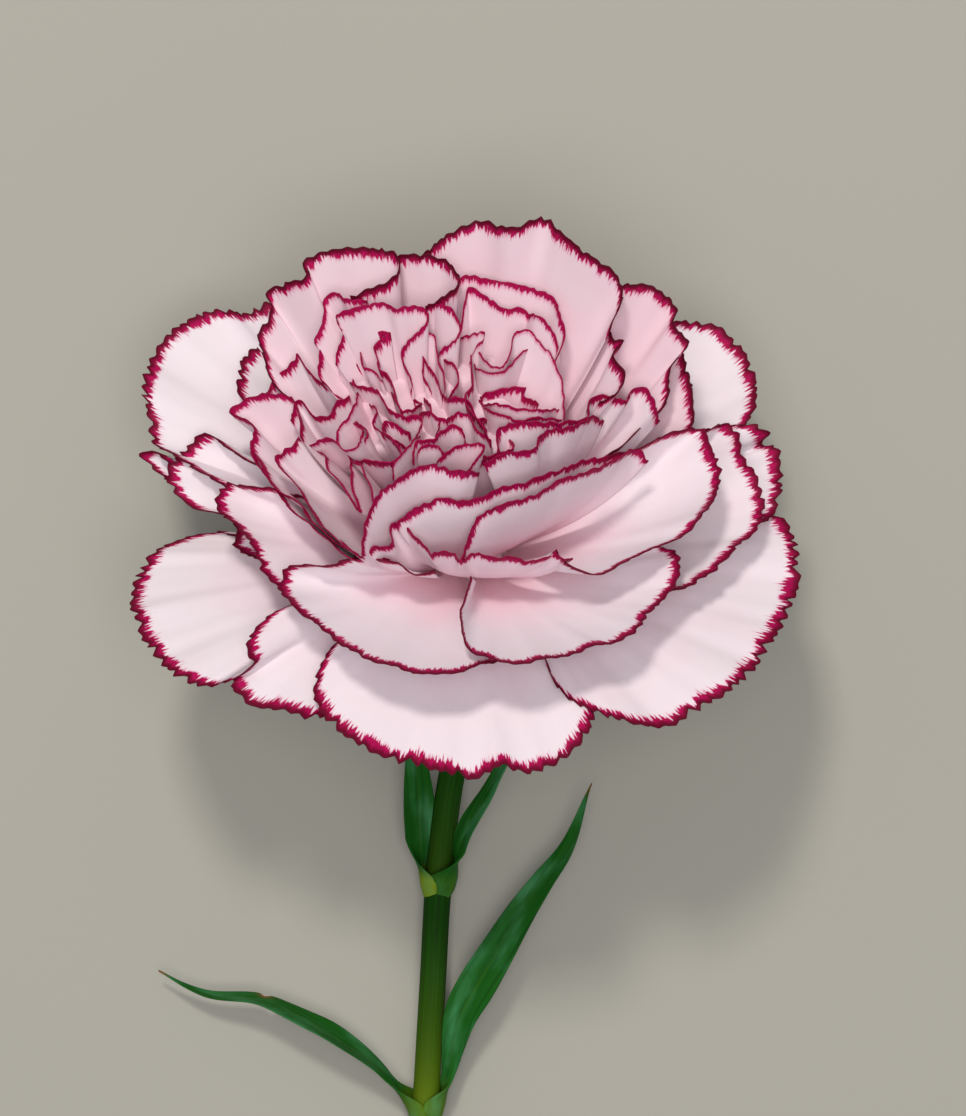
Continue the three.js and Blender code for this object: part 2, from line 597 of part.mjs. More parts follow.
function addNode(group, name, geometry, material) {
  const mesh = new THREE.Mesh(geometry, material);
  mesh.name = name;
  group.add(mesh);
}

const group = new THREE.Group();
addNode(group, 'petals', bloomGeometry(), PETAL_PINK);
addNode(group, 'calyx', calyxWithBracts(), STEM_GREEN);
addNode(group, 'stem', stemGeometry(), STEM_GREEN);
for (const [name, leaf] of Object.entries(LEAVES)) {
  addNode(group, name, leafGeometry(leaf), LEAF_GREEN);
}

export default group;
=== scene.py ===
# %% [markdown]
# # A cut carnation
# This lesson dresses a plain solid model of a cut carnation. The solids come from the part's own source and
# stay where they are. Each fine piece stands in the same frame, in metres, and takes the place of one solid.
# The flower lies on a table, so the camera looks straight down on it.

import math
from collections import namedtuple

import bpy
import numpy as np
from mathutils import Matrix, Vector


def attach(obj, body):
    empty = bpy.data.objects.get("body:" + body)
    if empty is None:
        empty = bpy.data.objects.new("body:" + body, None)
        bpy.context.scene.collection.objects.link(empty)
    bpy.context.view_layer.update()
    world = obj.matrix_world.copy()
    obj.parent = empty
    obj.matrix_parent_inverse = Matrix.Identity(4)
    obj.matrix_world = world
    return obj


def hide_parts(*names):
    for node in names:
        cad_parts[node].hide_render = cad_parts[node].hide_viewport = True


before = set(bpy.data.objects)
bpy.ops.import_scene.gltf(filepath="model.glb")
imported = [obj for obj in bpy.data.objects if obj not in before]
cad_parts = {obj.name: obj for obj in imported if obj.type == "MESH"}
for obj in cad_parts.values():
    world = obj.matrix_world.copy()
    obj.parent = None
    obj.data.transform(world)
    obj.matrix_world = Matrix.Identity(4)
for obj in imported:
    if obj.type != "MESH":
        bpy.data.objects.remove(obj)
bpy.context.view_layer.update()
print("solids:", ", ".join(sorted(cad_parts)))

# %% [markdown]
# ## Where things stand
# Outlines were read in a view that looks straight down, as pixel column, pixel row and a height in mm. A
# petal's heights are above the calyx's mouth along the flower's own axis, which rises 43 degrees above the
# table. Writing the reading down and converting it keeps every petal's rim in its real place.

# %% From the view to millimetres
BLOOM_WIDTH = 85.0
AXIS_RISE = math.radians(43)
BLOOM_CENTRE = np.array([-0.3, 33.0, 27.5])
VIEW_DISTANCE = 500.0
MOUTH_COLUMN, MOUTH_ROW = 464, 553
BLOOM_LEFT_COLUMN, BLOOM_RIGHT_COLUMN = 130, 803
MM_PER_PIXEL = BLOOM_WIDTH / (BLOOM_RIGHT_COLUMN - BLOOM_LEFT_COLUMN)


def on_petal(readings):
    """Readings (column, row, height) as x, y, z of the bloom: the ray through the pixel meets the height."""
    column, row, height = np.array(readings, float).T
    sine, cosine = math.sin(AXIS_RISE), math.cos(AXIS_RISE)
    across = (column - MOUTH_COLUMN) * MM_PER_PIXEL
    up = (MOUTH_ROW - row) * MM_PER_PIXEL
    y = (up * (VIEW_DISTANCE - height * sine) - height * VIEW_DISTANCE * cosine) / (
        VIEW_DISTANCE * sine - up * cosine)
    nearer = height * sine - y * cosine
    return np.stack([across * (1 - nearer / VIEW_DISTANCE), y, height], -1)


def laid(points):
    """Points of the bloom, whose axis is z, turned over on to the table: y and z turn by the axis's rise."""
    x, y, z = np.moveaxis(points, -1, 0)
    sine, cosine = math.sin(AXIS_RISE), math.cos(AXIS_RISE)
    return np.stack([x, y * sine + z * cosine, z * sine - y * cosine], -1) + BLOOM_CENTRE


def lying(readings):
    """Readings of the stem and leaves, whose heights are above the table, as points of the whole flower."""
    column, row, height = np.array(readings, float).T
    scale = MM_PER_PIXEL * (1 + (BLOOM_CENTRE[2] - height) / VIEW_DISTANCE)
    return np.stack([BLOOM_CENTRE[0] + (column - MOUTH_COLUMN) * scale,
                     BLOOM_CENTRE[1] + (MOUTH_ROW - row) * scale, height], -1)


print("one pixel is", round(MM_PER_PIXEL, 4), "mm at the bloom")

# %% [markdown]
# ## Curves and skins
# Petals and leaves are thin living sheets. Each is worked out as a middle surface on a grid, and then gets
# two skins and a closed edge. Modifiers could do the same, but a computed skin keeps its own distances from
# the rim, which the colours need later.

# %% Smooth curves
FINE_STEPS = 24
# These keep a vector of no length and two equal points from a division by zero.
LEAST_LENGTH, LEAST_SPAN = 1e-9, 1e-6


def unit(vectors):
    """Each vector divided by its own length."""
    return vectors / np.maximum(np.linalg.norm(vectors, axis=-1, keepdims=True), LEAST_LENGTH)


def ramp(value, low, high):
    """Zero below low, one above high, and a smooth S between: 3 t squared minus 2 t cubed."""
    t = np.clip((value - low) / (high - low), 0, 1)
    return t * t * (3 - 2 * t)


def smooth_line(points, count):
    """A curve through the points, as count places the same distance apart.

    Each span blends its four neighbours by how far they are, measured by the square roots of the
    distances between them, so that close points make no loop.
    """
    points = np.asarray(points, float)
    ends = 2 * points[:1] - points[1:2], 2 * points[-1:] - points[-2:-1]
    padded = np.concatenate([ends[0], points, ends[1]])
    p0, p1, p2, p3 = (padded[i:len(padded) - 3 + i][:, None] for i in range(4))
    k1, k2, k3 = (np.sqrt(np.linalg.norm(b - a, axis=-1, keepdims=True)) + LEAST_SPAN
                  for a, b in ((p0, p1), (p1, p2), (p2, p3)))
    k2, k3 = k1 + k2, k1 + k2 + k3
    t = k1 + (k2 - k1) * np.linspace(0, 1, FINE_STEPS)[None, :, None]
    a1 = ((k1 - t) * p0 + t * p1) / k1
    a2 = ((k2 - t) * p1 + (t - k1) * p2) / (k2 - k1)
    a3 = ((k3 - t) * p2 + (t - k2) * p3) / (k3 - k2)
    b1 = ((k2 - t) * a1 + t * a2) / k2
    b2 = ((k3 - t) * a2 + (t - k1) * a3) / (k3 - k1)
    curve = (((k2 - t) * b1 + (t - k1) * b2) / (k2 - k1)).reshape(-1, 3)
    gone = np.r_[0, np.cumsum(np.linalg.norm(np.diff(curve, axis=0), axis=1))]
    wanted = np.linspace(0, gone[-1], count)
    return np.stack([np.interp(wanted, gone, curve[:, axis]) for axis in range(3)], -1)


def length_of(points):
    """The length of a line of points."""
    return float(np.linalg.norm(np.diff(points, axis=0), axis=1).sum())


trial = smooth_line([[0, 0, 0], [4, 0, 0], [10, 0, 0]], 9)
print("a curve through places 0, 4 and 10 mm along is", round(length_of(trial), 2), "mm long")

# %% [markdown]
# ### From a grid to a closed piece
# A living sheet has two faces and an edge. A solidify modifier could thicken a grid. Here each point moves
# to both sides along its own normal instead, so that a value such as the distance from the rim can be given
# to both skins. A tube or a cup is closed over its rings. The sheets of one layer become one mesh.

# %% Skins
METRES = 0.001


def closed_sheet(middle, thickness):
    """Two skins, half the thickness to each side of the middle surface, and a wall round its edge."""
    normal = unit(np.cross(np.gradient(middle, axis=1), np.gradient(middle, axis=0)))
    half = 0.5 * np.broadcast_to(thickness, middle.shape[:2])[..., None] * normal
    rows, columns = middle.shape[:2]
    index = np.arange(rows * columns).reshape(rows, columns)
    a, b, c, d = index[:-1, :-1], index[:-1, 1:], index[1:, 1:], index[1:, :-1]
    top = np.stack([a, b, c, d], -1).reshape(-1, 4)
    under = top[:, ::-1] + rows * columns
    edge = np.concatenate([index[0, :-1], index[:-1, -1], index[-1, :0:-1], index[:0:-1, 0]])
    after = np.roll(edge, -1)
    wall = np.stack([after, edge, edge + rows * columns, after + rows * columns], -1)
    points = np.concatenate([(middle + half).reshape(-1, 3), (middle - half).reshape(-1, 3)])
    return points, np.concatenate([top, under, wall])


def twice(values, grid):
    """One value for each point of a grid, given to both skins of its sheet."""
    return np.concatenate([np.broadcast_to(values, grid.shape[:2]).reshape(-1)] * 2)


def skin_over(rings):
    """A closed skin over rings (rings, sides, 3): each joins the next, and a fan closes both ends."""
    count, sides = rings.shape[:2]
    index = np.arange(count * sides).reshape(count, sides)
    beside = np.roll(index, -1, 1)
    wall = np.stack([index[:-1], beside[:-1], beside[1:], index[1:]], -1).reshape(-1, 4)
    first, last = np.full(sides, count * sides), np.full(sides, count * sides + 1)
    foot = np.stack([first, beside[0], index[0], index[0]], -1)
    head = np.stack([last, index[-1], beside[-1], beside[-1]], -1)
    points = np.concatenate([rings.reshape(-1, 3), rings[:1].mean(1), rings[-1:].mean(1)])
    return points, np.concatenate([wall, foot, head])


def add_piece(name, sheets, replaced, material):
    """One object from several closed sheets: (points, faces, {attribute: value at each point}).

    A face that repeats its last corner is a triangle. The attribute uv_mm becomes the UV map.
    """
    starts = np.cumsum([0] + [len(points) for points, _, _ in sheets])
    points = np.concatenate([sheet[0] for sheet in sheets]) * METRES
    faces = np.concatenate([sheet[1] + start for sheet, start in zip(sheets, starts)])
    corners = np.where(faces[:, 3] == faces[:, 2], 3, 4)
    keep = np.arange(4)[None, :] < corners[:, None]
    loops = faces[keep]
    mesh = bpy.data.meshes.new(name)
    mesh.vertices.add(len(points))
    mesh.vertices.foreach_set("co", points.astype(np.float32).ravel())
    mesh.loops.add(len(loops))
    mesh.loops.foreach_set("vertex_index", loops.astype(np.int32))
    mesh.polygons.add(len(faces))
    mesh.polygons.foreach_set("loop_start", np.r_[0, np.cumsum(corners)[:-1]].astype(np.int32))
    mesh.update(calc_edges=True)
    mesh.polygons.foreach_set("use_smooth", np.ones(len(faces), bool))
    for key in sheets[0][2]:
        values = np.concatenate([sheet[2][key] for sheet in sheets]).astype(np.float32)
        if key == "uv_mm":
            mesh.uv_layers.new(name=key).data.foreach_set("uv", values[loops].ravel())
        else:
            mesh.attributes.new(key, "FLOAT", "POINT").data.foreach_set("value", values)
    mesh.materials.append(material)
    mesh.validate()
    piece = bpy.data.objects.new(name, mesh)
    bpy.context.scene.collection.objects.link(piece)
    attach(piece, "root")
    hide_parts(replaced)
    print(name, len(sheets), "sheets,", int((corners - 2).sum()), "triangles")
    return piece


# %% [markdown]
# ## Materials
# Every finish is worked out from the piece's own measures: a petal knows how many millimetres each point is
# from its toothed rim, and a leaf how far from its midrib. So the pattern bends with the piece and stays
# right from every side. Colours are written as the sRGB values one would pick by eye.

# %% Colour and node helpers
def linear(colour):
    """An sRGB hex colour as linear red, green, blue and alpha, by the sRGB curve."""
    parts = np.array([int(colour[i:i + 2], 16) for i in (1, 3, 5)]) / 255
    return (*np.where(parts <= 0.04045, parts / 12.92, ((parts + 0.055) / 1.055) ** 2.4), 1.0)


def new_material(name):
    """An empty node material."""
    material = bpy.data.materials.new(name)
    material.use_nodes = True
    material.node_tree.nodes.clear()
    return material


def node(material, kind, inputs, out=0, **settings):
    """Adds a node and gives one of its outputs.

    Settings are the node's own properties. Inputs map a socket's name or number to what feeds it: another
    node's output, a number or an sRGB hex colour.
    """
    made = material.node_tree.nodes.new(kind)
    for key, value in settings.items():
        setattr(made, key, value)
    for key, value in inputs.items():
        if isinstance(value, bpy.types.NodeSocket):
            material.node_tree.links.new(value, made.inputs[key])
        else:
            made.inputs[key].default_value = linear(value) if isinstance(value, str) else value
    return made.outputs[out] if made.outputs else None


# The numbers of a colour mix's inputs and of its output.
SHARE, FIRST, SECOND, MIXED = 0, 6, 7, 2


def measures(material):
    """The two lengths in the piece's own UV map, in mm."""
    uv = node(material, "ShaderNodeUVMap", {}, uv_map="uv_mm")
    return [node(material, "ShaderNodeSeparateXYZ", {"Vector": uv}, out=axis) for axis in (0, 1)]


def marks(material, names):
    """The values that the mesh holds at its points under these names."""
    return [node(material, "ShaderNodeAttribute", {}, out="Fac", attribute_name=name) for name in names]


def grain(material, along, across, along_mm, across_mm, detail=2.0, seed=0.0):
    """Noise whose blobs are about along_mm by across_mm."""
    shares = [node(material, "ShaderNodeMath", {0: length, 1: size}, operation="DIVIDE")
              for length, size in ((along, along_mm), (across, across_mm))]
    place = node(material, "ShaderNodeCombineXYZ", {0: shares[0], 1: shares[1], 2: seed})
    return node(material, "ShaderNodeTexNoise", {"Vector": place, "Scale": 1.0, "Detail": detail})


# %% [markdown]
# ### Petal
# A carnation petal is a soft, matt sheet of cells filled with air and a little sap, so it scatters light
# and shines only faintly. This kind has a picotee: crimson pigment in the outer millimetre of the toothed
# rim, which runs a little way down the veins as fine ticks. The distance from the rim draws the band, and
# noise that is stretched along the veins makes its inner edge ragged.

# %% Petal material
PETAL_WHITE = "#eee3e8"
PETAL_PINK = "#eda0b8"
# The throat's warm peach is partly the petal's own and partly a painted glow of light in the deep crevices.
PETAL_THROAT_AND_GLOW = "#eaa59c"
BAND_BRIGHT = "#b80c58"
BAND_CRIMSON = "#8e0434"
BAND_DARK = "#56021c"
BAND_FRINGE = "#d8488a"
TICK_WIDTH, TICK_LENGTH = 0.28, 2.4
VEIN_WIDTH, VEIN_LENGTH = 0.9, 40.0
LOBE_WIDTH = 3.2
CLOUD_WIDTH, CLOUD_PINK = 8.0, 0.24
# The band's width swings with the ticks and the lobes. Its inner edge is softened over this much, in mm.
TICK_SWING, LOBE_SWING, SWING_BASE = 2.6, 1.8, -1.3
BAND_SOFTNESS = 0.07
FRINGE_REACH, FRINGE_OVERLAP, FRINGE_SHARE = 0.7, 0.1, 0.6

petal_skin = new_material("carnation petal tissue")
along_rim, from_rim = measures(petal_skin)
blush, band, throat, ripe = marks(petal_skin, ("blush", "band", "throat", "ripe"))
ticks = grain(petal_skin, along_rim, from_rim, TICK_WIDTH, TICK_LENGTH, detail=3.0)
lobes = grain(petal_skin, along_rim, from_rim, LOBE_WIDTH, VEIN_LENGTH, detail=1.0, seed=7.0)
veins = grain(petal_skin, along_rim, from_rim, VEIN_WIDTH, VEIN_LENGTH, seed=3.0)
clouds = grain(petal_skin, along_rim, from_rim, CLOUD_WIDTH, CLOUD_WIDTH, seed=11.0)

# How far the band reaches in from the rim: its own width, times ticks and slow lobes.
swing = node(petal_skin, "ShaderNodeMath", {0: ticks, 1: TICK_SWING, 2: SWING_BASE},
             operation="MULTIPLY_ADD")
swing = node(petal_skin, "ShaderNodeMath", {0: lobes, 1: LOBE_SWING, 2: swing}, operation="MULTIPLY_ADD")
reach = node(petal_skin, "ShaderNodeMath", {0: swing, 1: band}, operation="MULTIPLY")
inside = node(petal_skin, "ShaderNodeMath", {0: reach, 1: from_rim}, operation="SUBTRACT")
in_band = node(petal_skin, "ShaderNodeMapRange", {"Value": inside, "From Min": -BAND_SOFTNESS,
                                                  "From Max": BAND_SOFTNESS})
in_fringe = node(petal_skin, "ShaderNodeMapRange", {
    "Value": inside, "From Min": -FRINGE_REACH, "From Max": FRINGE_OVERLAP, "To Max": FRINGE_SHARE},
    interpolation_type="SMOOTHSTEP")
outermost = node(petal_skin, "ShaderNodeMath", {0: from_rim, 1: band}, operation="DIVIDE")
outermost = node(petal_skin, "ShaderNodeMapRange", {"Value": outermost, "From Min": 0.8, "From Max": 0.1,
                                                    "To Max": ripe}, interpolation_type="SMOOTHSTEP")

# The flesh goes from white to pink by the petal's own blush and slow clouds, and is deepest in the throat.
# The throat's warm tint is partly the petal's own and partly a painted glow, for the light that scatters
# through the petals into the deep crevices.
pinkness = node(petal_skin, "ShaderNodeMath", {0: clouds, 1: CLOUD_PINK, 2: blush}, operation="MULTIPLY_ADD",
                use_clamp=True)
flesh = node(petal_skin, "ShaderNodeMix", {SHARE: pinkness, FIRST: PETAL_WHITE, SECOND: PETAL_PINK}, MIXED,
             data_type="RGBA")
for share, second in ((throat, PETAL_THROAT_AND_GLOW), (in_fringe, BAND_FRINGE)):
    flesh = node(petal_skin, "ShaderNodeMix", {SHARE: share, FIRST: flesh, SECOND: second}, MIXED,
                 data_type="RGBA")
bright = node(petal_skin, "ShaderNodeMapRange", {"Value": ticks, "From Min": 0.35, "From Max": 0.65})
crimson = node(petal_skin, "ShaderNodeMix", {SHARE: bright, FIRST: BAND_CRIMSON, SECOND: BAND_BRIGHT}, MIXED,
               data_type="RGBA")
crimson = node(petal_skin, "ShaderNodeMix", {SHARE: outermost, FIRST: crimson, SECOND: BAND_DARK}, MIXED,
               data_type="RGBA")
petal_colour = node(petal_skin, "ShaderNodeMix", {SHARE: in_band, FIRST: flesh, SECOND: crimson}, MIXED,
                    data_type="RGBA")

# Faint ridges along the veins break the light a little. The finish is matt, with the faintest shine.
ridges = node(petal_skin, "ShaderNodeBump", {"Height": veins, "Strength": 0.04, "Distance": 0.0003})
tissue = node(petal_skin, "ShaderNodeBsdfPrincipled", {
    "Base Color": petal_colour, "Normal": ridges, "Roughness": 0.6, "IOR": 1.4, "Specular IOR Level": 0.15})
node(petal_skin, "ShaderNodeOutputMaterial", {"Surface": tissue})
print("petal nodes:", len(petal_skin.node_tree.nodes))

# %% [markdown]
# ### Green skins
# Stem, calyx and leaves carry a thin wax that dulls the green and turns it bluish where it is thickest.
# Fine parallel veins run along all three. Noise that is long along the piece draws the veins, and slow
# noise draws the wax.

# %% Green materials
YOUNG_GREEN = "#7d9418"
DRY_BROWN = "#7a5228"
GREEN_VEIN_LENGTH, WAX_PATCH = 22.0, (9.0, 3.0)


def green_skin(name, deep, fresh, wax, vein_mm, wax_share, roughness):
    """A waxed plant skin: fresh green along the veins, deep green between them, and patches of wax."""
    skin = new_material(name)
    along, across = measures(skin)
    age, pale = marks(skin, ("age", "pale"))
    fine = grain(skin, along, across, GREEN_VEIN_LENGTH, vein_mm)
    patches = grain(skin, along, across, *WAX_PATCH, detail=3.0, seed=5.0)
    on_vein = node(skin, "ShaderNodeMapRange", {"Value": fine, "From Min": 0.35, "From Max": 0.7})
    waxed = node(skin, "ShaderNodeMapRange", {"Value": patches, "From Min": 0.42, "From Max": 0.75,
                                              "To Max": wax_share}, interpolation_type="SMOOTHSTEP")
    colour = node(skin, "ShaderNodeMix", {SHARE: on_vein, FIRST: deep, SECOND: fresh}, MIXED,
                  data_type="RGBA")
    for share, second in ((pale, YOUNG_GREEN), (waxed, wax), (age, DRY_BROWN)):
        colour = node(skin, "ShaderNodeMix", {SHARE: share, FIRST: colour, SECOND: second}, MIXED,
                      data_type="RGBA")
    bump = node(skin, "ShaderNodeBump", {"Height": fine, "Strength": 0.12, "Distance": 0.0003})
    surface = node(skin, "ShaderNodeBsdfPrincipled", {
        "Base Color": colour, "Normal": bump, "Roughness": roughness, "IOR": 1.42,
        "Specular IOR Level": 0.12})
    node(skin, "ShaderNodeOutputMaterial", {"Surface": surface})
    return skin


# The leaves carry the most wax, which greys them. The stem is deep and dull, the calyx lighter and smoother.
leaf_skin = green_skin("waxed leaf skin", "#124c10", "#1a5f16", "#5aa874", 0.5, 0.4, 0.55)
stem_skin = green_skin("waxed stem skin", "#023002", "#094503", "#1e6428", 0.4, 0.06, 0.7)
calyx_skin = green_skin("waxed calyx skin", "#2a6418", "#4f8a2c", "#86ab78", 0.5, 0.3, 0.45)
print("green skins:", leaf_skin.name, stem_skin.name, calyx_skin.name)

# %% [markdown]
# ## Petals
# A carnation's petals are narrow claws inside the calyx that spread into a fan with a toothed rim. The outer
# guard petals are broad and lie almost flat, and towards the heart they stand up and crowd into frills. A
# particle system could scatter one petal, but here each rim is read one by one and the petal is lofted from
# a ring on the core to that rim, which keeps the real bloom's own folds.

# %% The rims, layer by layer
RIMS = {
    "guard": {
        "left": [
            [285, 560, 2], [240, 536, 1], [212, 531, 0], [165, 545, 0], [136, 575, 0], [130, 605, 0],
            [145, 642, 0], [175, 678, 0], [203, 687, 0], [230, 684, -1.2], [262, 668, -1.5], [300, 640, -1]],
        "folded": [
            [300, 600, 4], [262, 622, 4], [246, 645, 4], [250, 667, 2], [231, 682, 0], [243, 700, -0.5],
            [285, 712, -1], [315, 720, -2.5], [345, 705, -3], [375, 665, -2]],
        "front": [
            [400, 622, 2], [340, 641, 2.5], [313, 688, 0.5], [325, 718, -1], [372, 753, -2.5],
            [425, 768, -3.5], [475, 779, -4], [503, 766, -3], [525, 776, -4], [568, 757, -3],
            [595, 722, -1.5], [590, 680, -1.5], [560, 640, -1]],
        "right": [
            [540, 630, 4], [547, 668, 1], [575, 702, -0.5], [620, 722, -1], [665, 726, -1.5],
            [703, 709, -1], [745, 682, 0], [765, 655, 0], [787, 620, 0], [801, 570, 1], [797, 540, 2],
            [775, 512, 3], [720, 520, 4]],
    },
    "second": {
        "upper_left": [
            [330, 330, 16], [270, 302, 17], [240, 312, 16], [213, 308, 15], [180, 324, 14], [158, 345, 13],
            [141, 385, 12], [146, 415, 10], [150, 437, 9], [168, 453, 9], [215, 480, 9], [270, 500, 8]],
        "left": [
            [275, 478, 12], [235, 452, 11], [203, 434, 11], [183, 449, 9], [168, 466, 8], [168, 485, 6],
            [186, 502, 5], [210, 513, 5], [236, 527, 5], [234, 545, 4], [257, 559, 4], [282, 588, 4],
            [330, 610, 4]],
        "left_curl": [
            [230, 460, 7], [172, 466, 7], [152, 452, 7], [139, 455, 6], [152, 468, 5], [180, 492, 4],
            [240, 520, 4]],
        "upper_right": [
            [640, 350, 17], [665, 325, 17], [690, 320, 16], [715, 325, 15], [735, 340, 14], [752, 365, 13],
            [757, 390, 12], [752, 418, 11], [720, 440, 10], [680, 460, 10]],
        "right": [
            [700, 430, 11], [742, 424, 11], [760, 424, 11], [770, 432, 10], [763, 443, 8], [778, 446, 8],
            [781, 465, 6], [783, 490, 5], [777, 508, 4], [765, 520, 4], [710, 540, 4]],
    },
    "middle": {
        "outer_right": [
            [672, 470, 10], [700, 432, 13], [735, 426, 12], [744, 455, 11], [760, 480, 10], [763, 520, 8],
            [740, 547, 7], [712, 572, 7], [678, 592, 7], [630, 600, 7]],
        "front_left": [
            [436, 573, 9.3], [413, 571, 10], [396, 561, 11], [374, 559, 11.2], [352, 560, 11],
            [330, 564, 10.5], [287, 566, 10], [280, 580, 9], [290, 603, 9], [320, 629, 8], [342, 643, 8],
            [370, 661, 8], [400, 670, 8], [450, 673, 7.5], [495, 664, 6.5], [520, 650, 4], [530, 625, 2]],
        "front_right": [
            [474, 577, 10], [466, 598, 10], [459, 620, 10], [468, 646, 9], [495, 659, 9], [520, 665, 9],
            [545, 662, 9], [570, 655, 9], [595, 645, 9], [614, 643, 9], [640, 633, 9], [650, 612, 9],
            [668, 595, 9], [681, 575, 10], [678, 552, 10], [640, 545, 9]],
        "right": [
            [556, 550, 13.5], [566, 563, 13], [590, 572, 13], [620, 567, 13], [645, 554, 14],
            [680, 536, 14], [702, 520, 15], [717, 495, 15], [722, 474, 16], [712, 445, 17], [703, 427, 18],
            [680, 431, 18], [650, 443, 18], [610, 455, 17]],
        "left": [
            [310, 500, 11], [272, 489, 12.5], [250, 486, 13], [228, 481, 13], [217, 492, 12.5],
            [218, 508, 12], [236, 525, 11], [252, 550, 10], [268, 577, 9], [284, 592, 8], [310, 604, 6]],
    },
    "cup": {
        "bowl_left": [
            [250, 447, 16], [258, 462, 15], [273, 486, 14], [285, 499, 13.5], [300, 518, 13],
            [325, 538, 12.5], [352, 556, 12], [390, 560, 10.5]],
        "bowl": [
            [340, 540, 12], [361, 558, 12.5], [375, 544, 13.5], [390, 543, 13.5], [391, 527, 14.5],
            [399, 521, 15], [413, 535, 14.2], [424, 545, 13.7], [432, 556, 13], [437, 550, 13.4],
            [456, 551, 13.4], [461, 560, 13], [473, 554, 13.3], [500, 559, 13], [513, 557, 13],
            [527, 561, 13], [549, 554, 13.5], [556, 550, 14], [564, 560, 14], [575, 560, 12.5]],
        "front_right": [
            [461, 560, 13], [466, 542, 14], [480, 518, 17], [500, 505, 19], [530, 495, 20], [570, 478, 21],
            [600, 465, 21], [640, 450, 20], [650, 460, 18]],
        "front": [
            [395, 525, 15], [410, 513, 17], [438, 497, 19], [470, 500, 19], [500, 490, 20], [560, 468, 21],
            [610, 455, 20]],
        "front_left": [
            [362, 555, 14], [368, 520, 17], [380, 492, 20], [400, 476, 22], [430, 466, 23], [466, 470, 23],
            [480, 470, 22]],
        "inner_right": [
            [484, 464, 21], [505, 452, 22], [538, 448, 22.5], [542, 438, 23], [550, 428, 23],
            [574, 424, 23], [588, 416, 23], [593, 400, 23], [612, 395, 23], [627, 399, 23], [631, 390, 23],
            [646, 388, 23], [656, 405, 22], [660, 420, 19]],
        "inner_top": [
            [498, 460, 21], [497, 432, 22.5], [515, 423, 23], [560, 420, 23], [592, 417, 22.5],
            [605, 420, 20]],
        "outer_left": [
            [357, 556, 12.3], [333, 538, 13.2], [311, 518, 13.8], [292, 500, 14.2], [275, 488, 14.2],
            [262, 468, 15], [250, 447, 16], [252, 425, 17], [229, 411, 17], [262, 393, 19], [290, 395, 19],
            [297, 402, 19], [299, 437, 17]],
        "left": [
            [299, 437, 19], [283, 452, 18], [275, 457, 17], [293, 480, 17], [303, 500, 16], [318, 518, 15],
            [340, 540, 14], [361, 557, 13]],
        "left_fold": [
            [290, 420, 17], [297, 402, 19], [313, 413, 19], [329, 413, 19], [335, 402, 20], [350, 395, 20]],
        "upper_left": [
            [255, 410, 16], [272, 382, 18], [288, 366, 20], [299, 352, 22], [305, 368, 21], [325, 385, 20],
            [348, 391, 19]],
    },
    "back": {
        "tall": [
            [415, 266, 29], [427, 250, 33], [455, 230, 36], [480, 220, 37], [515, 226, 38], [543, 217, 39],
            [565, 235, 38], [597, 258, 37], [612, 268, 36], [622, 288, 34], [612, 330, 30]],
        "rolled": [
            [578, 303, 28], [586, 290, 31.5], [591, 282, 32], [603, 284, 32], [612, 298, 31],
            [618, 307, 30.5], [609, 313, 30], [607, 324, 29], [612, 336, 28.5], [626, 341, 28],
            [615, 355, 27], [624, 374, 26], [619, 390, 24.5], [600, 402, 22.5]],
        "left": [
            [288, 397, 17], [272, 378, 19], [262, 358, 21], [257, 338, 22], [272, 305, 26], [266, 292, 27],
            [308, 272, 31], [303, 262, 32], [346, 247, 34], [395, 252, 34], [397, 268, 33.5],
            [385, 283, 32.5], [350, 295, 31]],
        "middle": [
            [388, 275, 29], [397, 256, 32.5], [420, 254, 34], [440, 256, 34], [455, 268, 33.5],
            [462, 277, 33], [459, 287, 32.5], [440, 296, 32], [426, 305, 31]],
        "right": [
            [612, 316, 27], [622, 287, 32], [648, 283, 32], [676, 305, 30], [673, 322, 29], [690, 342, 27],
            [672, 368, 24], [667, 398, 21], [640, 432, 18], [605, 455, 16]],
        "low_right": [
            [650, 320, 26], [683, 352, 23], [690, 375, 21], [694, 400, 19], [690, 428, 17], [650, 445, 15]],
    },
    "inner": {
        "right_hood": [
            [440, 310, 28], [462, 276, 31.5], [500, 281, 31.5], [540, 290, 31.5], [553, 297, 31.2],
            [562, 312, 30.5], [566, 330, 29.3], [563, 345, 28], [554, 362, 26], [548, 390, 22]],
        "right_lining": [
            [440, 352, 24], [456, 338, 26], [463, 320, 28], [467, 300, 30], [469, 286, 31],
            [490, 297, 30.5], [505, 309, 29.7], [522, 308, 29.7], [532, 318, 28.5], [545, 335, 26]],
        "left_hood": [
            [345, 400, 19], [330, 389, 20.5], [318, 374, 22.5], [319, 348, 24.5], [314, 341, 25.3],
            [321, 326, 27], [325, 308, 29], [325, 297, 30], [337, 292, 31], [346, 298, 31.3],
            [364, 299, 31], [366, 305, 29]],
        "left_eye": [
            [362, 400, 19], [354, 386, 21], [350, 366, 23], [336, 363, 23.5], [338, 348, 25.5],
            [343, 334, 27.5], [336, 315, 30], [352, 309, 31], [366, 304, 31.7], [386, 302, 32],
            [396, 307, 32], [412, 305, 32], [424, 308, 31.6], [427, 314, 31], [421, 328, 29.5],
            [408, 342, 28], [403, 352, 27], [406, 366, 25.5], [412, 380, 24], [411, 392, 22]],
    },
}
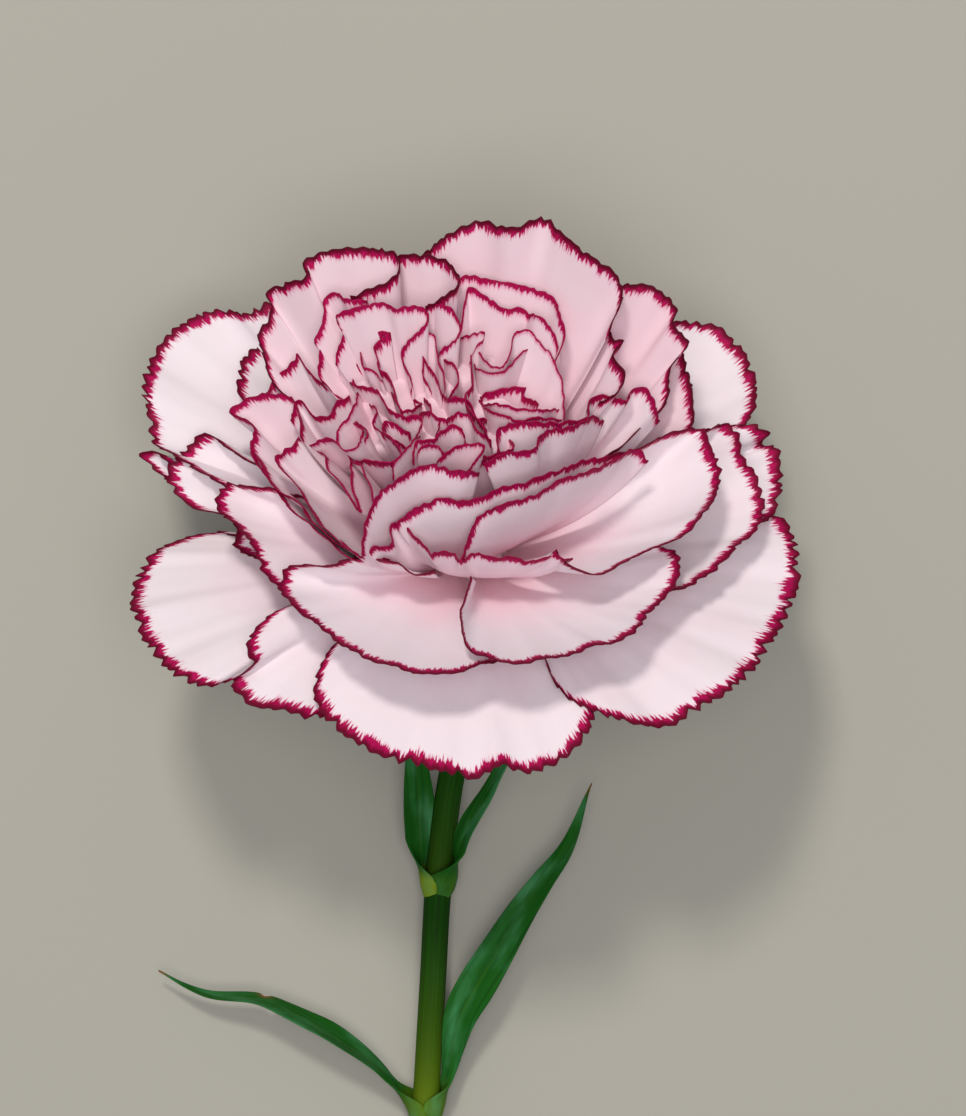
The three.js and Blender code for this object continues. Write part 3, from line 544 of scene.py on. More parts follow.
# The heart's frills: a lift in mm above the heart's slope, a share of the band's width, and [column, row]
# along each rim.
FRILLS = {
    "eye_stroke": (0.3, 1.6, [
        [357, 366], [362, 337], [376, 332], [391, 330], [384, 338], [374, 346], [376, 358], [377, 368],
        [387, 374], [396, 388], [396, 400], [403, 410], [407, 418]]),
    "eye_fold": (0.0, 0.5, [[357, 347], [361, 358], [364, 366], [374, 370], [381, 379], [380, 390]]),
    "eye_lower": (0.3, 1.0, [
        [349, 383], [366, 386], [378, 389], [384, 398], [390, 408], [398, 414], [406, 418], [418, 416],
        [422, 420], [420, 428], [416, 437]]),
    "left_curl": (0.0, 0.45, [
        [360, 392], [354, 404], [348, 416], [338, 428], [336, 438], [346, 448], [355, 447], [361, 438],
        [363, 430], [356, 423], [350, 420]]),
    "left_curl_lining": (-0.5, 0.4, [[350, 420], [358, 424], [368, 432], [366, 441], [364, 452]]),
    "pocket": (0.3, 1.6, [
        [410, 432], [398, 425], [387, 420], [384, 430], [394, 438], [400, 450], [396, 458], [386, 461],
        [370, 461], [356, 461]]),
    "pale_strip": (0.5, 0.4, [[420, 436], [414, 439], [406, 450], [396, 464], [394, 480]]),
    "left_strip": (-2.0, 0.8, [
        [310, 446], [322, 438], [334, 439], [342, 444], [348, 452], [350, 470], [352, 490], [360, 512]]),
    "left_strip_inner": (-1.0, 0.5, [
        [352, 450], [354, 460], [361, 464], [364, 476], [370, 488], [374, 506]]),
    "left_strip_outer": (-2.4, 0.7, [
        [318, 450], [325, 460], [327, 468], [336, 476], [348, 492], [358, 510]]),
    "middle_hood": (0.3, 0.45, [
        [416, 372], [418, 350], [418, 336], [426, 330], [434, 333], [435, 348], [438, 362], [444, 370],
        [446, 384], [444, 398]]),
    "middle_lining": (0.2, 1.0, [[432, 390], [422, 370], [423, 354], [430, 366], [438, 382], [444, 398]]),
    "middle_upper": (0.3, 0.9, [
        [426, 306], [440, 303], [452, 308], [458, 318], [460, 327], [456, 337], [441, 350], [436, 362]]),
    "middle_right": (0.3, 0.7, [[438, 360], [450, 360], [458, 366], [459, 382], [452, 392], [449, 400]]),
    "middle_fold": (0.6, 0.5, [[458, 338], [474, 333], [486, 331], [486, 338], [476, 348], [472, 362]]),
    "gathered": (0.6, 1.8, [
        [470, 348], [474, 370], [472, 385], [464, 395], [470, 410], [484, 425], [493, 442]]),
    "gathered_left": (0.3, 1.0, [[444, 394], [449, 400], [458, 396], [470, 402], [476, 414], [488, 428]]),
    "gathered_low": (0.4, 1.0, [[448, 418], [458, 412], [470, 416], [480, 430], [492, 440]]),
    "right_eye": (0.8, 0.35, [
        [470, 348], [476, 348], [486, 360], [496, 366], [504, 364], [510, 348], [516, 333], [532, 331],
        [540, 342], [550, 352], [558, 368], [564, 378], [565, 418]]),
    "right_wave": (0.6, 0.35, [
        [476, 360], [478, 368], [490, 373], [502, 372], [512, 366], [526, 348], [540, 342]]),
    "right_roll": (0.6, 0.8, [[525, 315], [540, 314], [550, 324], [556, 336], [558, 352], [554, 366]]),
    "eye_slit": (-0.8, 1.3, [[478, 398], [484, 394], [506, 388], [528, 387], [524, 393], [540, 402]]),
    "eye_lip": (0.0, 0.6, [[478, 400], [494, 412], [510, 415], [522, 420], [536, 418], [570, 420]]),
    "tongue": (0.6, 0.9, [
        [414, 462], [418, 442], [434, 438], [442, 430], [454, 424], [462, 428], [466, 440]]),
    "tongue_low": (0.9, 0.6, [[418, 458], [421, 446], [436, 444], [444, 452], [438, 464]]),
    "flag": (0.9, 0.8, [[438, 464], [442, 456], [458, 447], [486, 444], [480, 456], [469, 472]]),
    "small_frill": (0.2, 1.2, [[416, 414], [430, 412], [440, 420], [436, 436]]),
    "seam": (0.7, 0.9, [[392, 392], [398, 402], [402, 412], [412, 410], [420, 402]]),
    "seam_low": (0.5, 0.8, [[424, 398], [433, 404], [434, 414], [446, 420], [452, 432]]),
    "hollow": (0.2, 0.7, [[370, 404], [376, 412], [374, 424], [384, 434]]),
    "eye_floor": (0.3, 0.5, [[484, 404], [500, 402], [520, 408], [544, 410], [562, 408]]),
}
# The heart slopes from its back row down to its front, and settles at the front's height.
HEART_BACK_ROW, HEART_FRONT_HEIGHT, HEART_RISE, HEART_FALL_ROWS = 305, 21.0, 10.5, 70.0
FRILL_DIVE = 2.2
HIDDEN_RIMS = {
    "guard": [[56, 34, 42, 1.5], [124, 34, 42, 1.5]],
    "second": [[50, 26, 37, 12], [90, 28, 36, 14], [130, 26, 37, 13]],
}
print({layer: len(rims) for layer, rims in RIMS.items()})

# %% [markdown]
# ### From a rim to a petal
# A petal's skin is one curve per place on the rim: it leaves the core's ring, bellies out and reaches the
# rim. On top of that come ruffles that grow towards the rim and teeth that cut into its last millimetres.

# %% What sets one layer apart from the next
Layer = namedtuple("Layer", """ring_radius ring_height belly band tooth ruffle rim_blush root_blush
                             throat ripe""")
# The ring on the core and the belly are the solid's. The band, the teeth and the ruffles are in mm. The
# blush, the throat's colour (partly a painted warm glow of the deep crevices) and how ripe the rim's dark
# edge is are shares.
LAYERS = {
    "guard": Layer(4.6, -0.5, -1.5, 1.6, 1.2, 0.4, -0.14, 0.3, 0.1, 0.9),
    "second": Layer(4.4, 0.5, 0.0, 1.5, 1.1, 0.4, -0.12, 0.3, 0.1, 0.9),
    "middle": Layer(4.2, 1.0, 2.0, 1.25, 0.75, 0.4, -0.08, 0.35, 0.15, 0.8),
    "cup": Layer(3.6, 2.0, 4.5, 0.95, 0.55, 0.4, 0.06, 0.55, 0.3, 0.35),
    "back": Layer(3.4, 2.0, 3.0, 1.25, 0.6, 0.4, 0.2, 0.6, 0.3, 1.0),
    "inner": Layer(2.0, 3.0, 1.5, 0.75, 0.4, 0.3, 0.2, 0.6, 0.15, 0.15),
}
# A petal's root takes this share of its rim's turn round the axis, which counts up to the widest turn.
ROOT_SPREAD, WIDEST_TURN = 0.35, 2.4
BELLY_LEAN = 0.4
PETAL_ROWS, ROW_CROWDING, COLUMN_WIDTH = 22, 1.7, 0.38
# Turns in the rim that are shorter than this, in mm, fade out below it, from this share of the way up.
TURN_WIDTH, TURN_FADE = 2.5, 0.45
BELL_WIDTHS = 3
print("petals of", PETAL_ROWS, "rows, with a column every", COLUMN_WIDTH, "mm of rim")

# %% [markdown]
# ### The middle surface
# A petal bends like a sheet that is held at its claw: it leaves the core and lies over towards its rim. A
# lattice could bend a flat one. A quadratic curve for each place on the rim does it with one number, the
# belly, and always ends on the rim that was read.

# %% The middle of a petal

def softened(line, width_mm):
    """The line with its small turns taken out: a bell-shaped mean over the points on both sides.

    Beyond each end the line goes on turned round about its last point, so that the ends stay in place.
    """
    reach = min(int(BELL_WIDTHS * width_mm / COLUMN_WIDTH), len(line) - 1)
    steps = np.arange(-reach, reach + 1) * COLUMN_WIDTH / width_mm
    weight = np.exp(-steps ** 2 / 2)
    longer = np.concatenate([2 * line[0] - line[reach:0:-1], line, 2 * line[-1] - line[-2:-reach - 2:-1]])
    return np.stack([np.convolve(longer[:, axis], weight / weight.sum(), "valid") for axis in range(3)], -1)


def petal_middle(rim, layer):
    """The middle surface: rows run from root to rim, columns along the rim.

    Each column is a quadratic curve from the core's ring to the rim. Its middle point is pushed away from
    the flower's axis by the belly. The rim's small turns fade out below it, as the sheet irons them out.
    """
    columns = int(length_of(rim) / COLUMN_WIDTH) + 2
    tips = smooth_line(rim, columns)
    azimuth = math.atan2(*tips.mean(0)[1::-1])
    outward = np.array([math.cos(azimuth), math.sin(azimuth), 0])
    turn = np.arctan2(outward[0] * tips[:, 1] - outward[1] * tips[:, 0], tips @ outward)
    spread = ROOT_SPREAD * np.clip(turn[-1] - turn[0], -WIDEST_TURN, WIDEST_TURN)
    angle = azimuth + spread * np.linspace(-0.5, 0.5, columns)
    roots = np.stack([layer.ring_radius * np.cos(angle), layer.ring_radius * np.sin(angle),
                      np.full(columns, layer.ring_height)], -1)
    radial = unit(unit(tips * (1, 1, 0)) * (1 - BELLY_LEAN) + outward * BELLY_LEAN)
    lean = np.arctan2(((tips - roots) * radial).sum(-1), tips[:, 2] - layer.ring_height)[:, None]
    middle = (roots + tips) / 2 + layer.belly * (radial * np.cos(lean) - [0, 0, 1] * np.sin(lean))
    u = (1 - (1 - np.linspace(0, 1, PETAL_ROWS)) ** ROW_CROWDING)[:, None, None]
    small_turns = tips - softened(tips, TURN_WIDTH)
    return (1 - u) ** 2 * roots + 2 * u * (1 - u) * middle + u ** 2 * tips \
        - (1 - ramp(u, TURN_FADE, 1)) * u ** 2 * small_turns - 2 * u * (1 - u) * small_turns / 2


# %% [markdown]
# ### Ruffles and teeth
# A petal's rim grows faster than its middle, so it buckles into waves, and its edge is cut into small teeth.
# A displacement texture could do it, but sines along the rim and a jagged line keep both in millimetres.

# %% Ruffles and teeth
# Each wave: its share of the layer's ruffle, and its length in mm, which a draw stretches a little.
RUFFLE_WAVES, WAVE_STRETCH = ((0.6, 12.0), (0.28, 6.4), (0.1, 3.7)), (0.85, 1.15)
# Notches and tips follow each other at these spacings in mm. There are enough of them for the longest rim.
TOOTH_SPACING, TOOTH_ROOM, SPARE_TEETH = (0.3, 1.3), 0.7, 6
TOOTH_DEPTHS, TIP_SHARE, TOOTH_FADE = (0.05, 1.0), 0.2, 2.5
FULL_TURN = 6.28


def ruffled(surface, layer, draw):
    """Adds waves along the rim, which fade towards the root, and teeth in its last millimetres.

    The waves are three sines of the distance along the rim. The teeth join random heights by straight lines.
    Also gives each point's distance along the rim and from the rim, in mm.
    """
    steps = np.linalg.norm(np.diff(surface, axis=0), axis=-1)
    gone = np.concatenate([np.zeros((1, surface.shape[1])), np.cumsum(steps, 0)])
    from_rim_mm = gone[-1] - gone
    along = np.r_[0, np.cumsum(np.linalg.norm(np.diff(surface[-1], axis=0), axis=1))]
    share = gone / gone[-1]
    wave = sum(size * np.sin(2 * np.pi * along / (length * draw.uniform(*WAVE_STRETCH))
                             + draw.uniform(0, FULL_TURN)) for size, length in RUFFLE_WAVES)
    normal = unit(np.cross(np.gradient(surface, axis=1), np.gradient(surface, axis=0)))
    outwards = unit(np.gradient(surface, axis=0))
    places = np.cumsum(draw.uniform(*TOOTH_SPACING, int(along[-1] / TOOTH_ROOM) + SPARE_TEETH)) - 1
    tip_or_notch = np.where(np.arange(len(places)) % 2, -1.0, TIP_SHARE)
    heights = draw.uniform(*TOOTH_DEPTHS, len(places)) * tip_or_notch
    teeth = layer.tooth * np.interp(along, places, heights)
    surface = surface + (layer.ruffle * share ** 3 * wave)[..., None] * normal
    surface = surface + (teeth * ramp(TOOTH_FADE - from_rim_mm, 0, TOOTH_FADE))[..., None] * outwards
    return surface, np.broadcast_to(along, share.shape), from_rim_mm, share


# %% [markdown]
# ### From the surface to the petal
# A petal is thinnest at its rim, and its pink changes from claw to rim. Both could be painted. They follow
# from how far up the petal a point is, so they are worked out here and kept at the points for the finish.

# %% A closed petal
PETAL_THICKNESS, RIM_THINNING = 0.26, 0.4
# The throat's tint near the root, partly a painted warm glow of the deep crevices, fades out over its
# shares.
BLUSH_FADE, THROAT_AND_GLOW_FADE, BLUSH_SPREAD = (0.1, 0.75), (0.6, 0.95), 0.05
# Each petal starts this many mm further along the pattern, so that no two share their marks.
PATTERN_STEP = 173.0


def petal_sheet(rim, layer, seed, band_share=1.0):
    """A closed petal in its place on the table, with the measures that its colours need.

    It thins in proportion to the way up. Its pink goes from the root's to the rim's, and its throat's
    colour, partly a painted warm glow of the deep crevices, fades out, each by the ramp's smooth S. No point
    lies below the table.
    """
    draw = np.random.default_rng(seed)
    surface, along, from_rim_mm, share = ruffled(petal_middle(rim, layer), layer, draw)
    surface = laid(surface)
    thickness = PETAL_THICKNESS * (1 - RIM_THINNING * share)
    surface[..., 2] = np.maximum(surface[..., 2], thickness / 2)
    points, faces = closed_sheet(surface, thickness)
    points[:, 2] = np.maximum(points[:, 2], 0)
    pink = layer.root_blush + (layer.rim_blush - layer.root_blush) * ramp(share, *BLUSH_FADE)
    measured = {
        "uv_mm": np.stack([twice(along + PATTERN_STEP * seed, surface), twice(from_rim_mm, surface)], -1),
        "blush": twice(pink + draw.uniform(-BLUSH_SPREAD, BLUSH_SPREAD), surface),
        # The throat's tint is partly the petal's own and partly a painted warm glow of the deep crevices.
        "throat": twice(layer.throat * ramp(1 - share, *THROAT_AND_GLOW_FADE), surface),
        "band": twice(layer.band * band_share, surface),
        "ripe": twice(layer.ripe, surface),
    }
    return points, faces, measured


print("a petal's rim is", round(PETAL_THICKNESS * (1 - RIM_THINNING), 2), "mm thick")

# %% [markdown]
# ### Hidden petals and the heart
# The petals behind the bloom can't be read, so they are plain round fans. The heart is dozens of small
# petals folded against each other. Cloth simulation could crush them, but it would lose the folds that were
# read. Instead each visible frill is a rim on the heart's slope, a few more wind outwards by the golden
# angle as real ones do, and one wavy sheet below stands for the folds between them.

# %% Round rims, frills and the folded heart
FAN_STEPS, FAN_DRAW_IN, FAN_DIP = [-1, -0.75, -0.4, 0, 0.4, 0.75, 1], 0.3, 2


def round_rim(azimuth, half_width, radius, height):
    """A round fan: seven places on an arc, whose ends draw in and dip by the fourth power of the way out."""
    across = np.array(FAN_STEPS)
    angle = np.radians(azimuth + half_width * across)
    reach_out = radius * (1 - FAN_DRAW_IN * across ** 4)
    return np.stack([reach_out * np.cos(angle), reach_out * np.sin(angle),
                     height - FAN_DIP * across ** 4], -1)


HEART_PETALS = 7
HEART_HEIGHT = 20
GOLDEN_ANGLE = math.radians(137.5)
HEART_STEPS, HEART_HALF_TURN = [-1, -0.5, 0, 0.5, 1], 0.9
HEART_RADIUS, HEART_CENTRE, HEART_WAVE, HEART_DIP = 3.5, (-2, 1), 1.2, 1.5


def heart_rim(index):
    """A small frilled rim of the heart: an arc that winds out by the golden angle."""
    across = np.array(HEART_STEPS)
    turn = index * GOLDEN_ANGLE + HEART_HALF_TURN * across
    reach_out = HEART_RADIUS + index + HEART_WAVE * np.cos(2 * np.pi * across)
    return np.stack([reach_out * np.cos(turn) + HEART_CENTRE[0], reach_out * np.sin(turn) + HEART_CENTRE[1],
                     HEART_HEIGHT + HEART_DIP * np.cos(np.pi * across)], -1)


def heart_height(row):
    """The heart's slope in the view: it falls from the back row by an exponential towards the front."""
    return HEART_FRONT_HEIGHT + HEART_RISE * np.exp((HEART_BACK_ROW - row) / HEART_FALL_ROWS)


def frill_rim(lift, places):
    """A frill's rim on the heart's slope. Both ends dive a little, so that they grow out of the heart."""
    places = np.array(places, float)
    across = np.linspace(-1, 1, len(places))
    height = heart_height(places[:, 1]) + lift - FRILL_DIVE * across ** 4
    return on_petal(np.column_stack([places, height]))


HEART_MIDDLE, HEART_HALF = (450, 396), (110, 76)
HEART_COLUMNS, HEART_ROWS = 112, 88
FOLD_DEPTH, HEART_DIVE = 2.8, 7.0
# Each fold: its height in mm, and its pace in radians from the middle to the edge. The sides' dive grows
# from none to full between two places, where -1 is the sheet's back and 1 its front.
HEART_FOLDS, SIDE_DIVE = ((0.5, 7), (0.4, 12), (0.25, 20)), (-0.6, 0.4)
# The folds lie far inside any rim, so the pattern draws no band on them.
FAR_FROM_RIM = 20.0


def folded_heart(seed):
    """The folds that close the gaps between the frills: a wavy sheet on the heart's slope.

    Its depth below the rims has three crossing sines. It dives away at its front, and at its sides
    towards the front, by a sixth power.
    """
    draw = np.random.default_rng(seed)
    across, down = np.meshgrid(np.linspace(-1, 1, HEART_COLUMNS), np.linspace(-1, 1, HEART_ROWS))
    column = HEART_MIDDLE[0] + HEART_HALF[0] * across
    row = HEART_MIDDLE[1] + HEART_HALF[1] * down
    folds = sum(size * np.sin(draw.uniform(-1, 1) * pace * across + draw.uniform(-1, 1) * pace * down
                              + draw.uniform(0, FULL_TURN)) for size, pace in HEART_FOLDS)
    border = np.maximum(np.abs(across) ** 6 * ramp(down, *SIDE_DIVE), np.maximum(down, 0) ** 6)
    height = heart_height(row) - FOLD_DEPTH + folds - HEART_DIVE * border
    surface = laid(on_petal(np.stack([column, row, height], -1).reshape(-1, 3)).reshape(*row.shape, 3))
    points, faces = closed_sheet(surface, PETAL_THICKNESS)
    layer = LAYERS["inner"]
    measured = {
        "uv_mm": np.stack([twice(column * MM_PER_PIXEL, surface), twice(FAR_FROM_RIM, surface)], -1),
        "blush": twice(layer.rim_blush, surface), "throat": twice(0.0, surface),
        "band": twice(layer.band, surface), "ripe": twice(0.0, surface)}
    return points, faces, measured


print("heart:", HEART_PETALS, "wound petals,", len(FRILLS), "frills and one folded sheet")

# %% [markdown]
# ### The bundle of claws
# Below its fan each petal narrows to a long pale claw, and the claws are packed in the calyx like stalks in
# a hand. Two dozen strips could be modelled, but only the bundle's outside shows, at the calyx's mouth. So
# it is one turned form with a rib for each claw.

# %% The bundle of claws
CLAWS, CLAW_RELIEF = 22, 0.25
CLAW_SIDES, BUNDLE_ROWS, BUNDLE_RADIUS = 176, 60, 5
# The claws' throat share is partly a painted warm glow, as at the petals' roots.
CLAW_BLUSH, CLAW_THROAT_AND_GLOW, CLAW_BAND = 0.1, 0.25, 0.5
BUNDLE = np.array([[3.2, -23.7], [3.6, -21], [4.2, -17], [5.3, -4], [5.8, 0], [5.4, 4], [3.6, 8],
                   [0.9, 9.4]])


def claw_bundle():
    """The claws pressed together: a turned bundle, with a cosine of the angle as one rib for each claw."""
    height = np.linspace(BUNDLE[0, 1], BUNDLE[-1, 1], BUNDLE_ROWS)[:, None]
    angle = np.linspace(0, 2 * np.pi, CLAW_SIDES, endpoint=False)[None, :]
    radius = np.interp(height, BUNDLE[:, 1], BUNDLE[:, 0]) * (1 + 0 * angle)
    radius = radius + CLAW_RELIEF * (np.cos(CLAWS * angle) - 1)
    points, faces = skin_over(laid(np.stack([radius * np.cos(angle), radius * np.sin(angle),
                                             height + 0 * angle], -1)))
    flat = np.ones(len(points))
    round_mm = np.append(np.tile(angle.ravel() * BUNDLE_RADIUS, len(height)), [0, 0])
    return points, faces, {
        "uv_mm": np.stack([round_mm, FAR_FROM_RIM * flat], -1), "blush": CLAW_BLUSH * flat,
        "throat": CLAW_THROAT_AND_GLOW * flat, "band": CLAW_BAND * flat, "ripe": 0 * flat}


add_piece("petal_claws", [claw_bundle()], "petals", petal_skin)

# %% [markdown]
# ### The whole bloom
# The layers differ only in their numbers, so one loop makes them all. Each petal has a seed of its own,
# which counts on from layer to layer: the bloom comes out the same every time, and no two ruffle alike.

# %% Petals into the scene
seed = 0
for name, rims in RIMS.items():
    shapes = [(on_petal(rim), 1.0) for rim in rims.values()]
    shapes += [(round_rim(*hidden), 1.0) for hidden in HIDDEN_RIMS.get(name, [])]
    if name == "inner":
        shapes += [(heart_rim(index), 1.0) for index in range(HEART_PETALS)]
        shapes += [(frill_rim(lift, places), band_share) for lift, band_share, places in FRILLS.values()]
    sheets = [petal_sheet(shape, LAYERS[name], seed + place, band_share)
              for place, (shape, band_share) in enumerate(shapes, 1)]
    seed += len(shapes)
    if name == "inner":
        sheets.append(folded_heart(seed + 1))
    add_piece("petals_" + name, sheets, "petals", petal_skin)

# %% [markdown]
# ## Calyx
# The calyx is the green tube that holds the claws together. It ends in five pointed teeth, and pairs of
# pointed scales hug its foot. It is turned like a vase, and the teeth are its top edge moved up and down
# with the angle.

# %% Calyx tube
CALYX_MOUTH_RADIUS, CALYX_FOOT_RADIUS, CALYX_FOOT = 7.0, 4.4, -27.0
CALYX_WALL = 0.8
TEETH = 5
TOOTH_ROOT, TOOTH_LENGTH, TOOTH_POWER = -7.5, 5.0, 1.15
CALYX_SIDES, WALL_LEVELS, INNER_LEVELS = 180, 26, 8
RIB_HEIGHT, RIBS_PER_TOOTH = 0.07, 5
FOOT_ROUNDING, FOOT_PROFILE = 1.6, np.array([[2.4, 0], [3.3, 0.1], [4.0, 0.4], [4.35, 0.9]])
CALYX_FLOOR = CALYX_FOOT + 3
# At the lip the outer face flares and the inner one curls out, in mm, and this share of the wall is left.
LIP_FLARE, LIP_CURL, LIP_THIN = 0.35, 0.2, 0.4
CALYX_PATTERN_RADIUS = 5.5
# The green pales towards the teeth, between these two heights in mm.
PALE_SHARE, PALE_FROM, PALE_TO = 0.5, -10, -3


def calyx_radius(height):
    """Slim at the foot and widest at the mouth, by a quarter of a sine."""
    rise = np.clip((height - CALYX_FOOT) / -CALYX_FOOT, 0, 1)
    return CALYX_FOOT_RADIUS + (CALYX_MOUTH_RADIUS - CALYX_FOOT_RADIUS) * np.sin(rise * np.pi / 2)


def calyx_sheet():
    """Rings from the rounded foot up to the teeth and down inside. The teeth follow the angle."""
    angle = np.linspace(0, 2 * np.pi, CALYX_SIDES, endpoint=False)
    across = np.abs((angle * TEETH / (2 * np.pi)) % 1 - 0.5) * 2
    top = TOOTH_ROOT + TOOTH_LENGTH * (1 - across) ** TOOTH_POWER
    ribs = RIB_HEIGHT * np.cos(RIBS_PER_TOOTH * TEETH * angle)
    levels = np.linspace(0, 1, WALL_LEVELS)[:, None]
    outer_height = (CALYX_FOOT + FOOT_ROUNDING) + (top - CALYX_FOOT - FOOT_ROUNDING) * levels
    outer_radius = calyx_radius(outer_height) + ribs * ramp(levels, 0, 0.2) + LIP_FLARE * levels ** 6
    foot_height = CALYX_FOOT + FOOT_PROFILE[:, 1:] + 0 * angle
    foot_radius = FOOT_PROFILE[:, :1] + 0 * angle
    inwards = np.linspace(0, 1, INNER_LEVELS)[:, None]
    inner_height = top + (CALYX_FLOOR - top) * inwards
    wall = CALYX_WALL * (LIP_THIN + (1 - LIP_THIN) * ramp(inwards, 0, 0.4))
    inner_radius = calyx_radius(inner_height) - wall + LIP_CURL * (1 - inwards) ** 6
    height = np.concatenate([foot_height, outer_height, inner_height])
    radius = np.concatenate([foot_radius, outer_radius, inner_radius])
    points, faces = skin_over(laid(np.stack([radius * np.cos(angle), radius * np.sin(angle), height], -1)))
    flat = np.append(height.reshape(-1), [CALYX_FOOT, CALYX_FLOOR])
    round_mm = np.append((radius * 0 + angle * CALYX_PATTERN_RADIUS).reshape(-1), [0, 0])
    pale = PALE_SHARE * ramp(flat, PALE_FROM, PALE_TO)
    return points, faces, {"uv_mm": np.stack([flat, round_mm], -1), "age": 0 * flat, "pale": pale}


# %% [markdown]
# ### Scales
# Two pairs of short pointed leaves, one pair a little longer, lie on the calyx's foot. They could be part
# of the tube's own mesh, but as sheets of their own they lift at the tips and keep a paler, drier edge.

# %% Scales at its foot
SCALES, SCALE_LENGTHS, SCALE_HALF_ANGLE = 4, (8.0, 10.0), math.radians(44)
SCALE_THICKNESS, SCALE_START = 0.35, 1.2
SCALE_ROWS, SCALE_COLUMNS = 24, 21
# A scale stands off the tube by its lift, flares at the tip, hugs the tube with its sides, in mm, and
# narrows by its taper.
SCALE_LIFT, SCALE_FLARE, SCALE_HUG, SCALE_TAPER = 0.35, 0.55, 0.25, 0.97
SCALE_PATTERN_RADIUS = 5


def scale_sheet(place):
    """A pointed scale on the tube: its half angle shrinks with the square of the way up."""
    along = np.linspace(0, 1, SCALE_ROWS)[:, None]
    across = np.linspace(-1, 1, SCALE_COLUMNS)[None, :]
    height = CALYX_FOOT + SCALE_START + SCALE_LENGTHS[place % 2] * along + 0 * across
    radius = calyx_radius(height) + SCALE_LIFT + SCALE_FLARE * along ** 2 \
        - SCALE_HUG * np.abs(across) * (1 - along)
    angle = 2 * np.pi * (place + 0.5) / SCALES + SCALE_HALF_ANGLE * across * (1 - SCALE_TAPER * along ** 2)
    grid = laid(np.stack([radius * np.cos(angle), radius * np.sin(angle), height], -1))
    points, faces = closed_sheet(grid, SCALE_THICKNESS)
    measured = {"uv_mm": np.stack([twice(height, grid), twice(angle * SCALE_PATTERN_RADIUS, grid)], -1),
                "age": twice(0.6 * ramp(along, 0.88, 1), grid),
                "pale": twice(0.35 * ramp(np.abs(across), 0.6, 1), grid)}
    return points, faces, measured


add_piece("calyx_tube", [calyx_sheet()], "calyx", calyx_skin)
add_piece("calyx_scales", [scale_sheet(place) for place in range(SCALES)], "calyx", calyx_skin)

# %% [markdown]
# ## Stem
# The stem is a waxed tube with swollen joints where the leaf pairs grow. A tube swept along a curve does it,
# with its radius swelling near each joint. The florist's cut leaves a flat end with a pale pith.

# %% Stem
STEM_RADIUS, JOINT_SWELL, JOINT_REACH = 1.75, 0.1, 2.2
UPPER_JOINT, LOWER_JOINT, CUT_END = [438, 879, 4], [425, 1105, 3.3], [418, 1355, 1.71]
STEM_ROUTE = [[450, 780, 5.4], UPPER_JOINT, [432, 980, 3.6], LOWER_JOINT, [421, 1220, 2.6], CUT_END]
GAP = 0.3
GROWING_LENGTH, GROWING_SHARES = 8.0, (0.15, 0.55)
STEM_SIDES, STEM_STEPS, STEM_ROUND = 48, 320, 11


def stem_line(count):
    """Places along the stem: straight out of the calyx's foot, and then through the readings."""
    back = np.array([0, -math.cos(AXIS_RISE), -math.sin(AXIS_RISE)])
    foot = BLOOM_CENTRE + back * (-CALYX_FOOT)
    straight = foot + back * (2 * STEM_RADIUS + GAP)
    return smooth_line(np.concatenate([[foot, straight], lying(STEM_ROUTE)]), count)


def tube(centres, radius, sides):
    """Rings square to a line of centres, with a radius at each."""
    forward = unit(np.gradient(centres, axis=0))
    side = unit(np.cross(forward, [0, 0, 1.0]))
    up = np.cross(side, forward)
    angle = np.linspace(0, 2 * np.pi, sides, endpoint=False)[None, :, None]
    return centres[:, None] + radius[:, None, None] * (side[:, None] * np.cos(angle) - up[:, None]
                                                       * np.sin(angle))


def stem_sheet():
    """The swept tube. Its radius is the stem's plus a bell curve of the distance to each joint.

    The stem still grows just above each joint, so its young green fades upwards by an exponential. Where
    the cut end rests, the skin is pressed flat on the table.
    """
    centres = stem_line(STEM_STEPS)
    joints = lying([UPPER_JOINT, LOWER_JOINT])
    away = np.linalg.norm(centres[:, None] - joints[None], axis=-1)
    radius = STEM_RADIUS + JOINT_SWELL * np.exp(-(away / JOINT_REACH) ** 2).sum(1)
    rings = tube(centres, radius, STEM_SIDES)
    rings[..., 2] = np.maximum(rings[..., 2], 0)
    points, faces = skin_over(rings)
    gone = np.r_[0, np.cumsum(np.linalg.norm(np.diff(centres, axis=0), axis=1))]
    length_mm = np.append(np.repeat(gone, STEM_SIDES), [0, gone[-1]])
    round_mm = np.append(np.tile(np.linspace(0, STEM_ROUND, STEM_SIDES), len(gone)), [0, 0])
    above = gone[away.argmin(0)][None] - gone[:, None]
    growing = (GROWING_SHARES * np.where(above > 0, np.exp(-above / GROWING_LENGTH), np.exp(above))).max(1)
    pale = np.append(growing.repeat(STEM_SIDES), [0, 1])
    return points, faces, {"uv_mm": np.stack([length_mm, round_mm], -1), "age": 0 * pale, "pale": pale}


add_piece("stem_tube", [stem_sheet()], "stem", stem_skin)

# %% [markdown]
# ## Leaves
# Carnation leaves grow in pairs: each clasps the stem at its joint and opens into a narrow channel with a
# fine point. A channel that is bent round an arc of its own width, and swept along the leaf's curve, gives
# the clasp and the blade in one surface.

